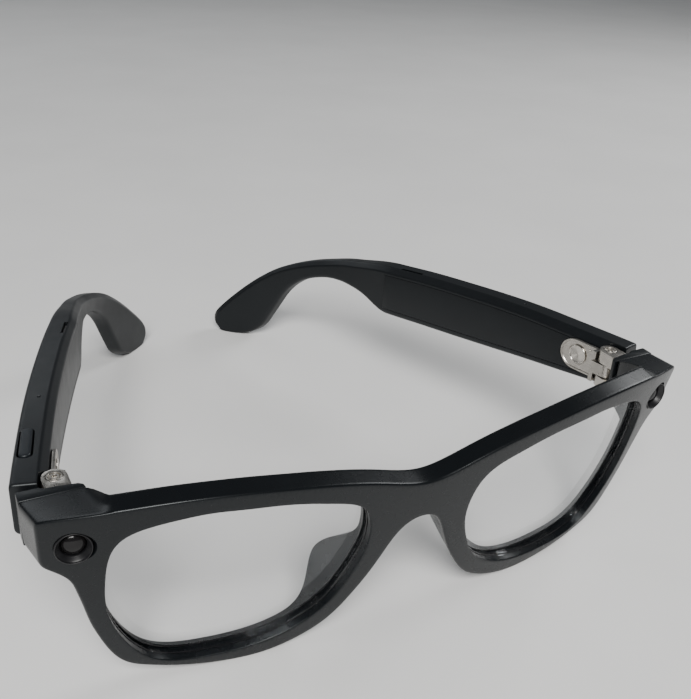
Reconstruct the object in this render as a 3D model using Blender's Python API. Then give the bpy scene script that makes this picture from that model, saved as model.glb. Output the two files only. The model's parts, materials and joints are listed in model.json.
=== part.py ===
"""Smart glasses: a moulded front with two lenses, a camera and a capture light, and two folding temples.

Lengths below are millimetres and angles degrees; solids are made in metres, +X to the wearer's left,
-Y ahead of the wearer, +Z up, standing on rims and temple tips.
"""
import math

import bmesh
import bpy
from mathutils import Matrix, Vector
from mathutils.geometry import delaunay_2d_cdt

MM = 0.001

# Stance and hinge axes
LEAN = 11.57
FRONT_Y = -71.475
FRONT_Z = 21.05
PIVOT_X = 64.36
PIVOT_Y = FRONT_Y + 20.0
PIVOT_Z = FRONT_Z + 22.29
REST_FOLD = 14.0

# Front
FRONT_T = 4.54
WRAP_2 = 0.958e-3
WRAP_4 = 2.241e-7
EDGE = 0.45
BROW = [(0, 17.65), (6, 19.81), (12, 21.9), (18, 23.53), (26, 25.09), (38, 26.57), (50, 26.58), (62, 24.71),
        (70.5, 22.51)]
LOWER = [(70.17, 11.39), (66.0, 8.3), (64.3, 2.8), (62.1, -6.5), (57.9, -15.8), (51.5, -19.0), (39.7, -21.4),
         (28.5, -21.4), (17.8, -16.7), (10.7, -7.1), (5.8, 3.9), (4.3, 8.1), (0, 10.13)]
OPENING = [(60.2, 6.8), (57.5, 18.6), (45.7, 22.7), (36.6, 22.4), (29.6, 21.7), (22.5, 19.9), (13.7, 16.1),
           (11.3, 6.8), (13.6, -2.6), (18.5, -11.4), (27.6, -17.0), (38.8, -18.5), (51.7, -16.7), (58.8, -5.7)]
BROW_STEPS = 24
LOWER_STEPS = 34
SIDE_STEPS = 3
OPENING_STEPS = 44
GROOVE_DEEP = 0.9
GROOVE_FROM = 1.5
GROOVE_TO = 3.5
LENS_T = 1.4
LENS_IN_GROOVE = 0.6

# Endpieces and the camera and light wells
END_INNER = 58.2
END_OUTER = 61.0
END_BACK = -6.3
END_TOP = 19.8
END_BOTTOM = 10.4
END_FLARE = 1.3
COVER_PLAN = [(7.5, -6.0), (7.5, -3.1), (3.2, -3.1), (2.9, -3.5), (-3.2, -4.4), (-4.0, -5.0), (-4.2, -6.0)]
COVER_TOP = 0.55
COVER_BOTTOM = -9.0
WELL_U = 64.9
WELL_V = 16.6
WELL_TURN = 10.0
WELL_R = 3.55
RING_R = 3.4
POCKET = ((-3.5, 4.2), (-12.6, -5.0), (-8.1, -0.9))

# Hinge
KNUCKLE_R = 2.3
KNUCKLE_GAP = 0.3
TOP_KNUCKLE = (-3.2, -0.1)
MID_KNUCKLE = (-6.5, -3.5)
LOW_KNUCKLE = (-9.4, -6.8)
SCREW_R = 0.8
SCREW_HEAD_R = 1.5
PLATE_L = (0.15, 0.8)

# Temple: side profile as pairs of top and bottom points, then the width across it
PROFILE = [((-2.6, 0.6), (-2.6, -10.3)), ((2, 0.55), (2, -10.7)), ((12, 0.35), (12, -12.0)),
           ((25, 0.1), (25, -13.5)), ((36, -0.5), (36, -14.8)), ((48, -1.4), (48, -16.1)),
           ((60, -2.4), (60, -17.2)), ((70, -3.5), (70, -18.1)), ((74.5, -4.0), (74.5, -18.3)),
           ((78.5, -4.7), (78, -17.4)), ((82, -5.5), (81.5, -16.1)), ((86, -6.5), (85.5, -15.2)),
           ((92, -7.9), (91.5, -14.8)), ((98, -9.7), (97, -15.2)), ((104, -11.6), (102, -16.6)),
           ((110, -14.0), (106.5, -18.7)), ((116, -17.1), (110.5, -21.8)), ((121, -20.8), (113.5, -25.5)),
           ((125.5, -24.9), (116, -30.0)), ((129.5, -29.2), (118.5, -34.8)), ((133, -33.4), (121.0, -39.2)),
           ((135.3, -36.9), (124.5, -42.1)), ((135.6, -40.1), (128.0, -43.25)), ((134.0, -42.3), (130.8, -43.34))]
OUTER = 7.54
INNER = 1.1
THICKNESS = [(0, 6.44), (72, 6.44), (92, 4.9), (118, 4.4), (137, 4.0)]
BOW_2 = 6.9
BOW_TIP = 14.6
TOP_CUT = 1.5
ROUND = 0.55
HOLLOW_S = (-1.0, 74.0)
WALL = 1.2
ROOF = 2.2
FLOOR = 1.6
COVER_T = 1.0
GAP = 0.3

# Capture button on the wearer's right temple
BUTTON_S = 10.9
BUTTON_L = 5.45
BUTTON_LEN = 9.6
BUTTON_W = 2.2
BUTTON_PROUD = 0.35


# ---------------------------------------------------------------- frames
def front_axes():
    lean = Matrix.Rotation(math.radians(LEAN), 4, "X")
    return Matrix.Translation(Vector((0, FRONT_Y, FRONT_Z)) * MM) @ lean


def hinge_axes(side, fold):
    turn = Matrix.Rotation(math.radians(side * fold), 4, "Z")
    return Matrix.Translation(Vector((side * PIVOT_X, PIVOT_Y, PIVOT_Z)) * MM) @ turn


def well_axes(side):
    centre = front_axes() @ (Vector((side * WELL_U, wrap(WELL_U), WELL_V)) * MM)
    return Matrix.Translation(centre) @ Matrix.Rotation(math.radians(side * WELL_TURN), 4, "Z")


def wrap(u):
    return WRAP_2 * u * u + WRAP_4 * u ** 4


def smooth(a, b, x):
    t = min(1.0, max(0.0, (x - a) / (b - a)))
    return t * t * (3 - 2 * t)


def lookup(table, x):
    for (x0, y0), (x1, y1) in zip(table, table[1:]):
        if x <= x1:
            return y0 + (y1 - y0) * max(0.0, (x - x0) / (x1 - x0))
    return table[-1][1]


# ---------------------------------------------------------------- curves
def catmull(p0, p1, p2, p3, t):
    a = 2 * p1
    b = p2 - p0
    c = 2 * p0 - 5 * p1 + 4 * p2 - p3
    d = 3 * p1 - p0 - 3 * p2 + p3
    return 0.5 * (a + b * t + c * t * t + d * t ** 3)


def run_curve(points, closed):
    pts = [Vector(p) for p in points]
    n = len(pts)
    dense = []
    for i in range(n if closed else n - 1):
        if closed:
            quad = [pts[(i + k) % n] for k in (-1, 0, 1, 2)]
        else:
            quad = [pts[max(i - 1, 0)], pts[i], pts[i + 1], pts[min(i + 2, n - 1)]]
        dense += [catmull(*quad, k / 12) for k in range(12)]
    if not closed:
        dense.append(pts[-1])
    return dense


def resample(points, count, closed):
    dense = run_curve(points, closed)
    if closed:
        dense.append(dense[0])
    lengths = [0.0]
    for a, b in zip(dense, dense[1:]):
        lengths.append(lengths[-1] + (b - a).length)
    out = []
    k = 0
    for i in range(count if closed else count + 1):
        want = lengths[-1] * i / count
        while k < len(dense) - 2 and lengths[k + 1] < want:
            k += 1
        span = max(1e-9, lengths[k + 1] - lengths[k])
        out.append(dense[k].lerp(dense[k + 1], min(1.0, (want - lengths[k]) / span)))
    return out


def outward(loop):
    n = len(loop)
    area = sum(loop[i].x * loop[(i + 1) % n].y - loop[(i + 1) % n].x * loop[i].y for i in range(n))
    sign = 1 if area > 0 else -1
    normals = []
    for i in range(n):
        t = loop[(i + 1) % n] - loop[i - 1]
        normals.append(Vector((t.y, -t.x)).normalized() * sign)
    return normals


def outline_loop():
    top = resample(BROW, BROW_STEPS, False)
    low = resample(LOWER, LOWER_STEPS, False)
    side = [top[-1].lerp(low[0], k / SIDE_STEPS) for k in range(1, SIDE_STEPS)]
    right = top + side + low
    left = [Vector((-p.x, p.y)) for p in reversed(right[1:-1])]
    return right + left


def opening_loop(side):
    loop = resample(OPENING, OPENING_STEPS, True)
    return [Vector((side * p.x, p.y)) for p in loop]


def brow_height(u):
    return lookup(BROW, abs(u))


# ---------------------------------------------------------------- mesh makers
def make_node(name, verts, faces, parent, material=None):
    mesh = bpy.data.meshes.new(name)
    mesh.from_pydata([Vector(v) * MM for v in verts], [], faces)
    bm = bmesh.new()
    bm.from_mesh(mesh)
    bmesh.ops.remove_doubles(bm, verts=bm.verts, dist=1e-7)
    bmesh.ops.recalc_face_normals(bm, faces=bm.faces)
    bm.to_mesh(mesh)
    bm.free()
    mesh.shade_smooth()
    mesh.set_sharp_from_angle(angle=math.radians(32))
    obj = bpy.data.objects.new(name, mesh)
    bpy.context.scene.collection.objects.link(obj)
    obj.parent = parent
    if material is None:
        obj.hide_render = True
        obj.display_type = "WIRE"
    else:
        mesh.materials.append(material)
    return obj


def loft(name, rings, parent, material=None):
    count = len(rings[0])
    verts = [tuple(p) for ring in rings for p in ring]
    faces = []
    for r in range(len(rings) - 1):
        for i in range(count):
            j = (i + 1) % count
            faces.append((r * count + i, r * count + j, (r + 1) * count + j, (r + 1) * count + i))
    faces.append(tuple(range(count)))
    last = (len(rings) - 1) * count
    faces.append(tuple(last + i for i in range(count)))
    return make_node(name, verts, faces, parent, material)


def box(name, xs, ys, zs, parent, material=None):
    ring = [(xs[0], zs[0]), (xs[1], zs[0]), (xs[1], zs[1]), (xs[0], zs[1])]
    return loft(name, [[(x, y, z) for x, z in ring] for y in ys], parent, material)


def turned(name, profile, steps, axis, centre, parent, material=None):
    """Solid of revolution: profile is (radius, height along axis); both ends close on a flat."""
    rings = []
    for radius, height in profile:
        ring = []
        for i in range(steps):
            a = 2 * math.pi * i / steps
            c, s = radius * math.cos(a), radius * math.sin(a)
            p = (c, height, s) if axis == "y" else (c, s, height)
            ring.append(tuple(p[k] + centre[k] for k in range(3)))
        rings.append(ring)
    return loft(name, rings, parent, material)


def annulus(name, profile, steps, parent, material):
    """Ring about the well axis; profile is a closed loop of (radius, depth)."""
    verts = []
    for i in range(steps):
        a = 2 * math.pi * i / steps
        verts += [(r * math.cos(a), y, r * math.sin(a)) for r, y in profile]
    m = len(profile)
    faces = []
    for i in range(steps):
        j = (i + 1) % steps
        for k in range(m):
            n = (k + 1) % m
            faces.append((i * m + k, i * m + n, j * m + n, j * m + k))
    return make_node(name, verts, faces, parent, material)


def combine(target, tool, how="DIFFERENCE"):
    mod = target.modifiers.new(tool.name, "BOOLEAN")
    mod.operation = how
    mod.solver = "EXACT"
    mod.object = tool


def chamfer(obj, width, angle=40):
    mod = obj.modifiers.new("edge", "BEVEL")
    mod.width = width * MM
    mod.segments = 1
    mod.limit_method = "ANGLE"
    mod.angle_limit = math.radians(angle)


def paint(name, colour, rough, metal=0.0, alpha=1.0):
    mat = bpy.data.materials.new(name)
    mat.use_nodes = True
    shader = mat.node_tree.nodes["Principled BSDF"]
    shader.inputs["Base Color"].default_value = (*colour, 1.0)
    shader.inputs["Roughness"].default_value = rough
    shader.inputs["Metallic"].default_value = metal
    shader.inputs["Alpha"].default_value = alpha
    return mat


def empty(name, matrix):
    obj = bpy.data.objects.new(name, None)
    bpy.context.scene.collection.objects.link(obj)
    obj.matrix_world = matrix
    return obj


# ---------------------------------------------------------------- front
def endpiece_share(u, v):
    return smooth(END_INNER, END_OUTER, abs(u)) * smooth(8.0, 11.0, v)


def back_point(u, v):
    """Where a point of the outline plane lands on the rear surface of the front."""
    lean = math.radians(LEAN)
    share = endpiece_share(u, v)
    top = max(brow_height(u), 12.0)
    squeezed = END_BOTTOM + (v - 11.39) * (END_TOP - END_BOTTOM) / (top - 11.39)
    v2 = v + share * (squeezed - v)
    plane = 24.06 + (END_BACK + (v2 - 17.83) * math.sin(lean)) / math.cos(lean)
    w = (wrap(u) + FRONT_T) * (1 - share) + plane * share
    flare = END_FLARE * share * smooth(63.0, 70.0, abs(u))
    return (u + math.copysign(flare, u), w, v2)


def wall_point(p, depth):
    """Outer wall between the two faces; depth runs 0 at the front edge to 1 at the back edge."""
    front = Vector((p.x, wrap(p.x), p.y))
    return front.lerp(Vector(back_point(p.x, p.y)), depth)


def region_faces(outer, holes):
    points = list(outer)
    for hole in holes:
        points += hole
    for i in range(-34, 35):
        for j in range(-10, 14):
            p = Vector((i * 2.05, j * 2.05))
            if abs(p.x) > 54 and p.y > 8 or abs(p.x) < 9:
                points.append(p)
    edges = []
    start = 0
    for loop in [outer] + holes:
        n = len(loop)
        edges += [(start + k, start + (k + 1) % n) for k in range(n)]
        start += n
    kept = [k for k in range(len(points)) if k < start or clear_of_edges(points[k], [outer] + holes)]
    points = [points[k] for k in kept]
    found = delaunay_2d_cdt(points, edges, [], 1, 1e-6)
    tris = []
    for tri in found[2]:
        c = sum((found[0][k] for k in tri), Vector((0, 0))) / 3
        if not any(inside(c, hole) for hole in holes):
            tris.append(tuple(tri))
    return found[0], tris


def inside(p, loop):
    hit = False
    for a, b in zip(loop, loop[1:] + loop[:1]):
        if (a.y > p.y) != (b.y > p.y) and p.x < a.x + (p.y - a.y) * (b.x - a.x) / (b.y - a.y):
            hit = not hit
    return hit


def clear_of_edges(p, loops):
    if not inside(p, loops[0]) or any(inside(p, loop) for loop in loops[1:]):
        return False
    return all((p - q).length > 1.2 for loop in loops for q in loop)


def front_solid(parent, material):
    outer = outline_loop()
    holes = [opening_loop(1), opening_loop(-1)]
    inset = [p - n * EDGE for p, n in zip(outer, outward(outer))]
    eased = []
    for hole in holes:
        eased.append([p + n * 0.3 for p, n in zip(hole, outward(hole))])
    verts = []
    faces = []

    def add_ring(points):
        start = len(verts)
        verts.extend(points)
        return list(range(start, start + len(points)))

    def join(a, b):
        n = len(a)
        faces.extend((a[i], a[(i + 1) % n], b[(i + 1) % n], b[i]) for i in range(n))

    flat, tris = region_faces(inset, eased)
    for back in (False, True):
        start = len(verts)
        verts.extend(back_point(p.x, p.y) if back else (p.x, wrap(p.x), p.y) for p in flat)
        faces.extend(tuple(start + k for k in tri) for tri in tris)
    loops = [(outer, inset)]
    face_rings = [add_ring([(p.x, wrap(p.x), p.y) for p in inset])]
    for depth in (0.1, 0.45, 0.9):
        face_rings.append(add_ring([tuple(wall_point(p, depth)) for p in loops[0][0]]))
    face_rings.append(add_ring([back_point(p.x, p.y) for p in inset]))
    for a, b in zip(face_rings, face_rings[1:]):
        join(a, b)
    for hole, ease in zip(holes, eased):
        deep = [p + n * GROOVE_DEEP for p, n in zip(hole, outward(hole))]
        steps = [(ease, 0.0), (hole, 0.3), (hole, GROOVE_FROM - 0.15), (deep, GROOVE_FROM),
                 (deep, GROOVE_TO), (hole, GROOVE_TO + 0.15), (hole, FRONT_T - 0.3)]
        rings = [add_ring([(p.x, wrap(p.x) + w, p.y) for p in loop]) for loop, w in steps]
        rings.append(add_ring([back_point(p.x, p.y) for p in ease]))
        for a, b in zip(rings, rings[1:]):
            join(a, b)
    return make_node("front_frame", verts, faces, parent, material)


def nose_pad(side, parent):
    """Rounded fin on the nose side of each rim, splayed to sit on the nose."""
    rings = []
    for k in range(9):
        t = -1 + 2 * k / 8
        swell = math.sqrt(max(0.0, 1 - (t * 0.985) ** 2))
        ring = []
        for i in range(14):
            a = 2 * math.pi * i / 14
            x = 1.9 * swell * math.cos(a)
            y = 5.2 * swell * math.sin(a)
            ring.append(Vector((x, y, t * 8.6)))
        rings.append(ring)
    turn = Matrix.Rotation(math.radians(side * -29), 4, "Y") @ Matrix.Rotation(math.radians(side * -24), 4, "Z")
    move = Matrix.Translation(Vector((side * 12.0, 4.9, -4.2)))
    rings = [[tuple(move @ turn @ p) for p in ring] for ring in rings]
    return loft("nose_pad_form_" + side_name(side), rings, parent)


def side_name(side):
    return "left" if side > 0 else "right"


def brow_bar(name, u_end, dv, w0, w1, parent, material=None):
    """Strip that follows the rear of the brow, from -u_end to +u_end."""
    rings = []
    for k in range(41):
        u = -u_end + 2 * u_end * k / 40
        v = brow_height(u) - 1.75
        base = wrap(u)
        rings.append([(u, base + w0, v - dv), (u, base + w1, v - dv), (u, base + w1, v + dv), (u, base + w0, v + dv)])
    return loft(name, rings, parent, material)


def lens(side, parent, material):
    loop = opening_loop(side)
    edge = [p + n * LENS_IN_GROOVE for p, n in zip(loop, outward(loop))]
    centre = sum(edge, Vector((0, 0))) / len(edge)
    mid = (GROOVE_FROM + GROOVE_TO) / 2
    verts = []
    faces = []
    n = len(edge)
    shares = (1.0, 0.66, 0.33)
    for face_w in (mid - LENS_T / 2, mid + LENS_T / 2):
        start = len(verts)
        for share in shares:
            for p in edge:
                q = centre.lerp(p, share)
                verts.append((q.x, wrap(q.x) + face_w, q.y))
        verts.append((centre.x, wrap(centre.x) + face_w, centre.y))
        for r in range(len(shares) - 1):
            for i in range(n):
                j = (i + 1) % n
                a, b = start + r * n, start + (r + 1) * n
                faces.append((a + i, a + j, b + j, b + i))
        last = start + (len(shares) - 1) * n
        faces.extend((last + i, last + (i + 1) % n, start + len(shares) * n) for i in range(n))
    half = len(shares) * n + 1
    faces.extend((i, (i + 1) % n, half + (i + 1) % n, half + i) for i in range(n))
    return make_node("lens_" + side_name(side), verts, faces, parent, material)


def build_front(axes, mats):
    frame = front_solid(axes["front"], mats["shell"])
    for side in (1, -1):
        name = side_name(side)
        combine(frame, nose_pad(side, axes["front"]), "UNION")
        l, s, h = POCKET
        xs = sorted((side * l[0], side * l[1]))
        combine(frame, box("pocket_form_" + name, xs, s, h, axes["end_" + name]))
        bore = turned("well_form_" + name, [(WELL_R, -3.0), (WELL_R, 4.5)], 28, "y", (0, 0, 0), axes["well_" + name])
        combine(frame, bore)
        pin = turned("contact_form_" + name, [(1.15, 2.9), (1.15, 6.0)], 16, "y", (side * 2.7, 0, 13.4), axes["front"])
        combine(frame, pin)
        turned("charging_contact_" + name, [(0.7, 3.2), (0.85, 3.35), (0.85, 4.35), (0.7, 4.5)], 16, "y",
               (side * 2.7, 0, 13.4), axes["front"], mats["contact_" + name])
        lens(side, axes["front"], mats["lens_" + name])
    combine(frame, brow_bar("flex_channel_form", 57.0, 0.6, 3.1, 5.4, axes["front"]))
    brow_bar("front_flex_cable", 56.5, 0.4, 3.3, 3.5, axes["front"], mats["flex"])
    brow_bar("brow_rear_strip", 56.7, 0.45, 3.75, 4.5, axes["front"], mats["strip"])


def endpiece_cover(side, axes, mats):
    name = side_name(side)
    rings = [[(side * l, s, h) for l, s in COVER_PLAN] for h in (COVER_BOTTOM, COVER_TOP)]
    cover = loft("endpiece_cover_" + name, rings, axes["end_" + name], mats["cover_" + name])
    chamfer(cover, 0.35)
    seat = box("leaf_seat_form_" + name, (-2.6, 2.6), (-5.3, -2.0), (-9.9, 1.6), axes["end_" + name])
    combine(cover, seat)


def optics(kind, side, axes, mats):
    """Bezel ring, front window and what sits behind them in one endpiece well."""
    parent = axes["well_" + side_name(side)]
    rim = [(2.65, 0.45), (3.0, -0.2), (3.3, -0.2), (RING_R, 0.0), (RING_R, 2.0), (2.65, 2.0)]
    annulus(kind + "_ring", rim, 28, parent, mats[kind + "_ring"])
    dome = [(0.6, 0.28), (1.6, 0.42), (2.4, 0.7), (2.4, 1.3), (1.2, 1.3)]
    turned(kind + "_window", dome, 24, "y", (0, 0, 0), parent, mats[kind + "_window"])


def camera(side, axes, mats):
    optics("camera", side, axes, mats)
    parent = axes["well_" + side_name(side)]
    barrel = [(1.5, 1.6), (2.2, 1.75), (2.2, 3.6)]
    module = turned("camera_module", barrel, 24, "y", (0, 0, 0), parent, mats["camera_module"])
    base = box("camera_base_form", (-2.3, 2.5), (3.4, 5.6), (-2.9, 2.9), parent)
    combine(module, base, "UNION")
    l, s, h = POCKET
    inset = 0.35
    xs = (l[0] + inset, l[1] - inset)
    box("camera_board", xs, (-9.2, -8.4), (h[0] + inset, h[1] - inset), axes["end_left"], mats["camera_board"])


def capture_light(side, axes, mats):
    optics("capture_light", side, axes, mats)
    parent = axes["well_" + side_name(side)]
    guide = [(1.4, 1.6), (1.8, 1.7), (1.8, 3.6), (1.2, 3.6)]
    turned("capture_light_guide", guide, 20, "y", (0, 0, 0), parent, mats["light_guide"])
    l, s, h = POCKET
    inset = 0.35
    xs = (-l[1] + inset, -l[0] - inset)
    box("capture_light_board", xs, (-11.0, -10.2), (h[0] + inset, h[1] - inset), axes["end_right"],
        mats["light_board"])


# ---------------------------------------------------------------- hinge
def knuckle_plate(name, heights, reach, parent, material=None):
    """Flat knuckle: half round about the pivot axis, running square to reach along Y."""
    ring = []
    sign = -1 if reach < 0 else 1
    for k in range(13):
        a = math.pi * k / 12
        ring.append((KNUCKLE_R * math.cos(a), -sign * KNUCKLE_R * math.sin(a)))
    ring += [(-KNUCKLE_R, reach), (KNUCKLE_R, reach)]
    return loft(name, [[(x, y, h) for x, y in ring] for h in heights], parent, material)


def front_leaf(side, axes, mats):
    name = side_name(side)
    parent = axes["end_" + name]
    leaf = box("hinge_front_leaf_" + name, (-2.3, 2.3), (-5.0, -3.5), (-9.4, -0.1), parent, mats["leaf_" + name])
    for tag, heights in (("top", TOP_KNUCKLE), ("low", LOW_KNUCKLE)):
        combine(leaf, knuckle_plate("%s_knuckle_form_%s" % (tag, name), heights, -4.2, parent), "UNION")
    bore = [(SCREW_R + 0.15, -12), (SCREW_R + 0.15, -0.9), (SCREW_HEAD_R + 0.2, -0.9), (SCREW_HEAD_R + 0.2, 2)]
    combine(leaf, turned("screw_hole_form_" + name, bore, 20, "z", (0, 0, 0), parent))


def screw(side, axes, mats):
    name = side_name(side)
    parent = axes["end_" + name]
    shape = [(0.6, -9.3), (SCREW_R, -9.1), (SCREW_R, -0.7), (SCREW_HEAD_R, -0.7), (SCREW_HEAD_R, -0.25),
             (SCREW_HEAD_R - 0.2, -0.05)]
    body = turned("hinge_screw_" + name, shape, 20, "z", (0, 0, 0), parent, mats["screw_" + name])
    slot = box("screw_slot_form_" + name, (-0.9, 0.9), (-0.18, 0.18), (-0.4, 1.0), parent)
    combine(body, slot)


def temple_leaf(side, axes, mats):
    name = side_name(side)
    parent = axes["temple_" + name]
    outline = [(2.7, -1.3), (2.7, -9.2), (8.6, -9.3)]
    for k in range(1, 10):
        a = -math.pi / 2 + math.pi * k / 10
        outline.append((9.4 + 4.2 * math.cos(a), -5.3 + 4.0 * math.sin(a)))
    outline.append((8.6, -1.3))
    rings = [[(side * l, s, h) for s, h in outline] for l in PLATE_L]
    leaf = loft("hinge_temple_plate_" + name, rings, parent, mats["plate_" + name])
    xs = sorted((side * -1.7, side * PLATE_L[1]))
    web = box("leaf_web_form_" + name, xs, (2.7, 3.5), (-9.2, -1.3), parent)
    combine(leaf, web, "UNION")
    combine(leaf, knuckle_plate("mid_knuckle_form_" + name, MID_KNUCKLE, 3.1, parent), "UNION")
    hole = turned("mid_hole_form_" + name, [(SCREW_R + 0.15, -12), (SCREW_R + 0.15, 2)], 20, "z", (0, 0, 0), parent)
    combine(leaf, hole)
    seat = turned_across("disc_seat_form_" + name, [(2.65, -1.0), (2.65, 0.5)], side, (8.6, -5.0), parent)
    combine(leaf, seat)
    dish = [(0.3, 0.14), (2.2, 0.0), (2.4, 0.05), (2.4, 0.4), (1.0, 0.4)]
    turned_across("hinge_disc_" + name, dish, side, (8.6, -5.0), parent, mats["disc_" + name])


def turned_across(name, profile, side, centre, parent, material=None):
    """Solid of revolution whose axis runs across the temple; centre is (along, height)."""
    rings = []
    for radius, l in profile:
        ring = []
        for i in range(28):
            a = 2 * math.pi * i / 28
            ring.append((side * l, centre[0] + radius * math.cos(a), centre[1] + radius * math.sin(a)))
        rings.append(ring)
    return loft(name, rings, parent, material)


# ---------------------------------------------------------------- temples
def bow(s):
    return -BOW_2 * (s / 100) ** 2 - BOW_TIP * max(0.0, (s - 90) / 50) ** 2 if s > 0 else 0.0


def temple_section(top, bottom):
    """Eight corners of the temple at one station, from the outer face round over the top."""
    st, ht = top
    sb, hb = bottom
    tall = math.hypot(st - sb, ht - hb)
    thick = lookup(THICKNESS, (st + sb) / 2)
    inner = OUTER - thick
    cut = min(TOP_CUT, 0.3 * tall)
    small = min(ROUND, 0.18 * tall)
    spots = [(OUTER, tall - 1.9 * small), (OUTER, small), (OUTER - small, 0.0), (inner + cut, 0.0), (inner, cut),
             (inner, tall - 1.4 * small), (inner + 1.2 * small, tall), (OUTER - 1.9 * small, tall)]
    ring = []
    for l, down in spots:
        t = down / tall
        s = st + (sb - st) * t
        ring.append((l + bow(s), s, ht + (hb - ht) * t))
    return ring


def temple_point(s, frac_h):
    tops = [p[0] for p in PROFILE]
    lows = [p[1] for p in PROFILE]
    ht, hb = lookup(tops[:16], s), lookup(lows[:16], s)
    return ht + (hb - ht) * frac_h, ht, hb


def stations(s0, s1, step):
    count = max(1, round((s1 - s0) / step))
    return [s0 + (s1 - s0) * k / count for k in range(count + 1)]


def bowed_bar(name, side, s_range, l_range, top_of, low_of, parent, material=None, step=9.0):
    """Bar that follows the temple's bow; the top and bottom are functions of the station."""
    rings = []
    for s in stations(s_range[0], s_range[1], step):
        l0, l1 = l_range[0] + bow(s), l_range[1] + bow(s)
        top, low = top_of(s), low_of(s)
        rings.append([(side * l0, s, low), (side * l1, s, low), (side * l1, s, top), (side * l0, s, top)])
    return loft(name, rings, parent, material)


def level(value):
    return lambda s: value


def below_top(gap):
    return lambda s: temple_point(s, 0)[1] - gap


def above_low(gap):
    return lambda s: temple_point(s, 0)[2] + gap


def temple_shell(side, axes, mats):
    name = side_name(side)
    parent = axes["temple_" + name]
    rings = [[(side * l, s, h) for l, s, h in temple_section(*pair)] for pair in dense_profile()]
    shell = loft("temple_shell_" + name, rings, parent, mats["temple_" + name])
    hollow = bowed_bar("hollow_form_" + name, side, HOLLOW_S, (INNER - 2.0, OUTER - WALL), below_top(ROOF),
                       above_low(FLOOR), parent)
    combine(shell, hollow)
    relief = turned("knuckle_relief_form_" + name, [(2.75, -12.0), (2.75, 3.0)], 28, "z", (0, 0, 0), parent)
    combine(shell, relief)
    xs = sorted((side * -1.0, side * 2.75))
    combine(shell, box("arm_relief_form_" + name, xs, (-5.0, 0.4), (-12.0, 3.0), parent))
    slot = bowed_bar("vent_slot_form_" + name, side, (62.0, 69.5), (2.75, 3.65), level(1.0), below_top(ROOF + 0.9),
                     parent, step=4)
    combine(shell, slot)
    return shell


def dense_profile():
    pairs = []
    for i in range(len(PROFILE)):
        pairs.append(PROFILE[i])
        if i and i + 1 < len(PROFILE) - 2 and PROFILE[i][0][0] > 74:
            a, b = PROFILE[i - 1], PROFILE[i]
            c, d = PROFILE[i + 1], PROFILE[i + 2]
            top = catmull(Vector(a[0]), Vector(b[0]), Vector(c[0]), Vector(d[0]), 0.5)
            low = catmull(Vector(a[1]), Vector(b[1]), Vector(c[1]), Vector(d[1]), 0.5)
            pairs.append((tuple(top), tuple(low)))
    return pairs


def inner_cover(side, axes, mats):
    name = side_name(side)
    parent = axes["temple_" + name]
    cover = bowed_bar("temple_inner_cover_" + name, side, (HOLLOW_S[0] + GAP, HOLLOW_S[1] - GAP),
                      (INNER, INNER + COVER_T), below_top(ROOF + GAP), above_low(FLOOR + GAP), parent,
                      mats["inner_" + name], step=5)
    relief = turned("cover_relief_form_" + name, [(2.75, -14.0), (2.75, 3.0)], 28, "z", (0, 0, 0), parent)
    combine(cover, relief)
    xs = sorted((side * -1.0, side * 2.75))
    combine(cover, box("cover_arm_form_" + name, xs, (-5.0, 3.5), (-14.0, 3.0), parent))


def pill(name, centre, length, width, heights, parent, material=None, side=1):
    ring = []
    half = (length - width) / 2
    for k in range(20):
        a = 2 * math.pi * (k + 0.5) / 20
        shift = half if math.sin(a) > 0 else -half
        ring.append((width / 2 * math.cos(a), shift + width / 2 * math.sin(a)))
    rings = []
    for h, inset in heights:
        rings.append([(side * centre[0] + x * (1 - inset / width * 2), centre[1] + y * (1 - inset / length * 2), h)
                      for x, y in ring])
    return loft(name, rings, parent, material)


def capture_button(side, shell, axes, mats):
    parent = axes["temple_right"]
    top = temple_point(BUTTON_S, 0)[1]
    place = (BUTTON_L + bow(BUTTON_S), BUTTON_S)
    hole = pill("button_hole_form", place, BUTTON_LEN + 2 * GAP, BUTTON_W + 2 * GAP,
                [(top - ROOF - 1.4, 0), (top + 2, 0)], parent, side=side)
    combine(shell, hole)
    heights = [(top - 2.9, 0.0), (top + BUTTON_PROUD - 0.3, 0.0), (top + BUTTON_PROUD, 0.3)]
    pill("capture_button", place, BUTTON_LEN, BUTTON_W, heights, axes["button"], mats["button"], side=side)
    xs = sorted((side * (place[0] - 1.6), side * (place[0] + 0.6)))
    box("button_switch", xs, (BUTTON_S - 1.6, BUTTON_S + 1.6), (top - 4.6, top - 3.5), parent, mats["switch"])


def temple_inside(side, axes, mats):
    """Electronics carried between the outer shell and the inner cover."""
    name = side_name(side)
    parent = axes["temple_" + name]
    speaker = bowed_bar("speaker_" + name, side, (57.0, 71.5), (2.7, 5.9), below_top(4.2), above_low(2.4), parent,
                        mats["speaker_" + name], step=5)
    chamfer(speaker, 0.5)
    bowed_bar("vent_mesh_" + name, side, (62.2, 69.3), (2.9, 3.5), below_top(0.9), below_top(1.5), parent,
              mats["mesh_" + name], step=4)
    bowed_bar("battery_" + name, side, (20.0, 54.0), (3.95, 6.0), below_top(4.2), above_low(2.4), parent,
              mats["battery_" + name], step=7)
    bowed_bar("temple_board_" + name, side, (16.0, 55.0), (2.55, 3.25), below_top(4.4), above_low(2.6), parent,
              mats["board_" + name], step=7)
    place = (4.55, 28.5)
    top = temple_point(28.5, 0)[1]
    side_x = side * (place[0] + bow(28.5))
    turned("microphone_" + name, [(1.1, top - 3.6), (1.1, top - 2.6), (0.7, top - 2.5)], 16, "z",
           (side_x, place[1], 0), parent, mats["mic_" + name])
    return turned("mic_hole_form_" + name, [(0.4, top - 2.4), (0.4, top + 1.0)], 12, "z", (side_x, place[1], 0), parent)


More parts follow.
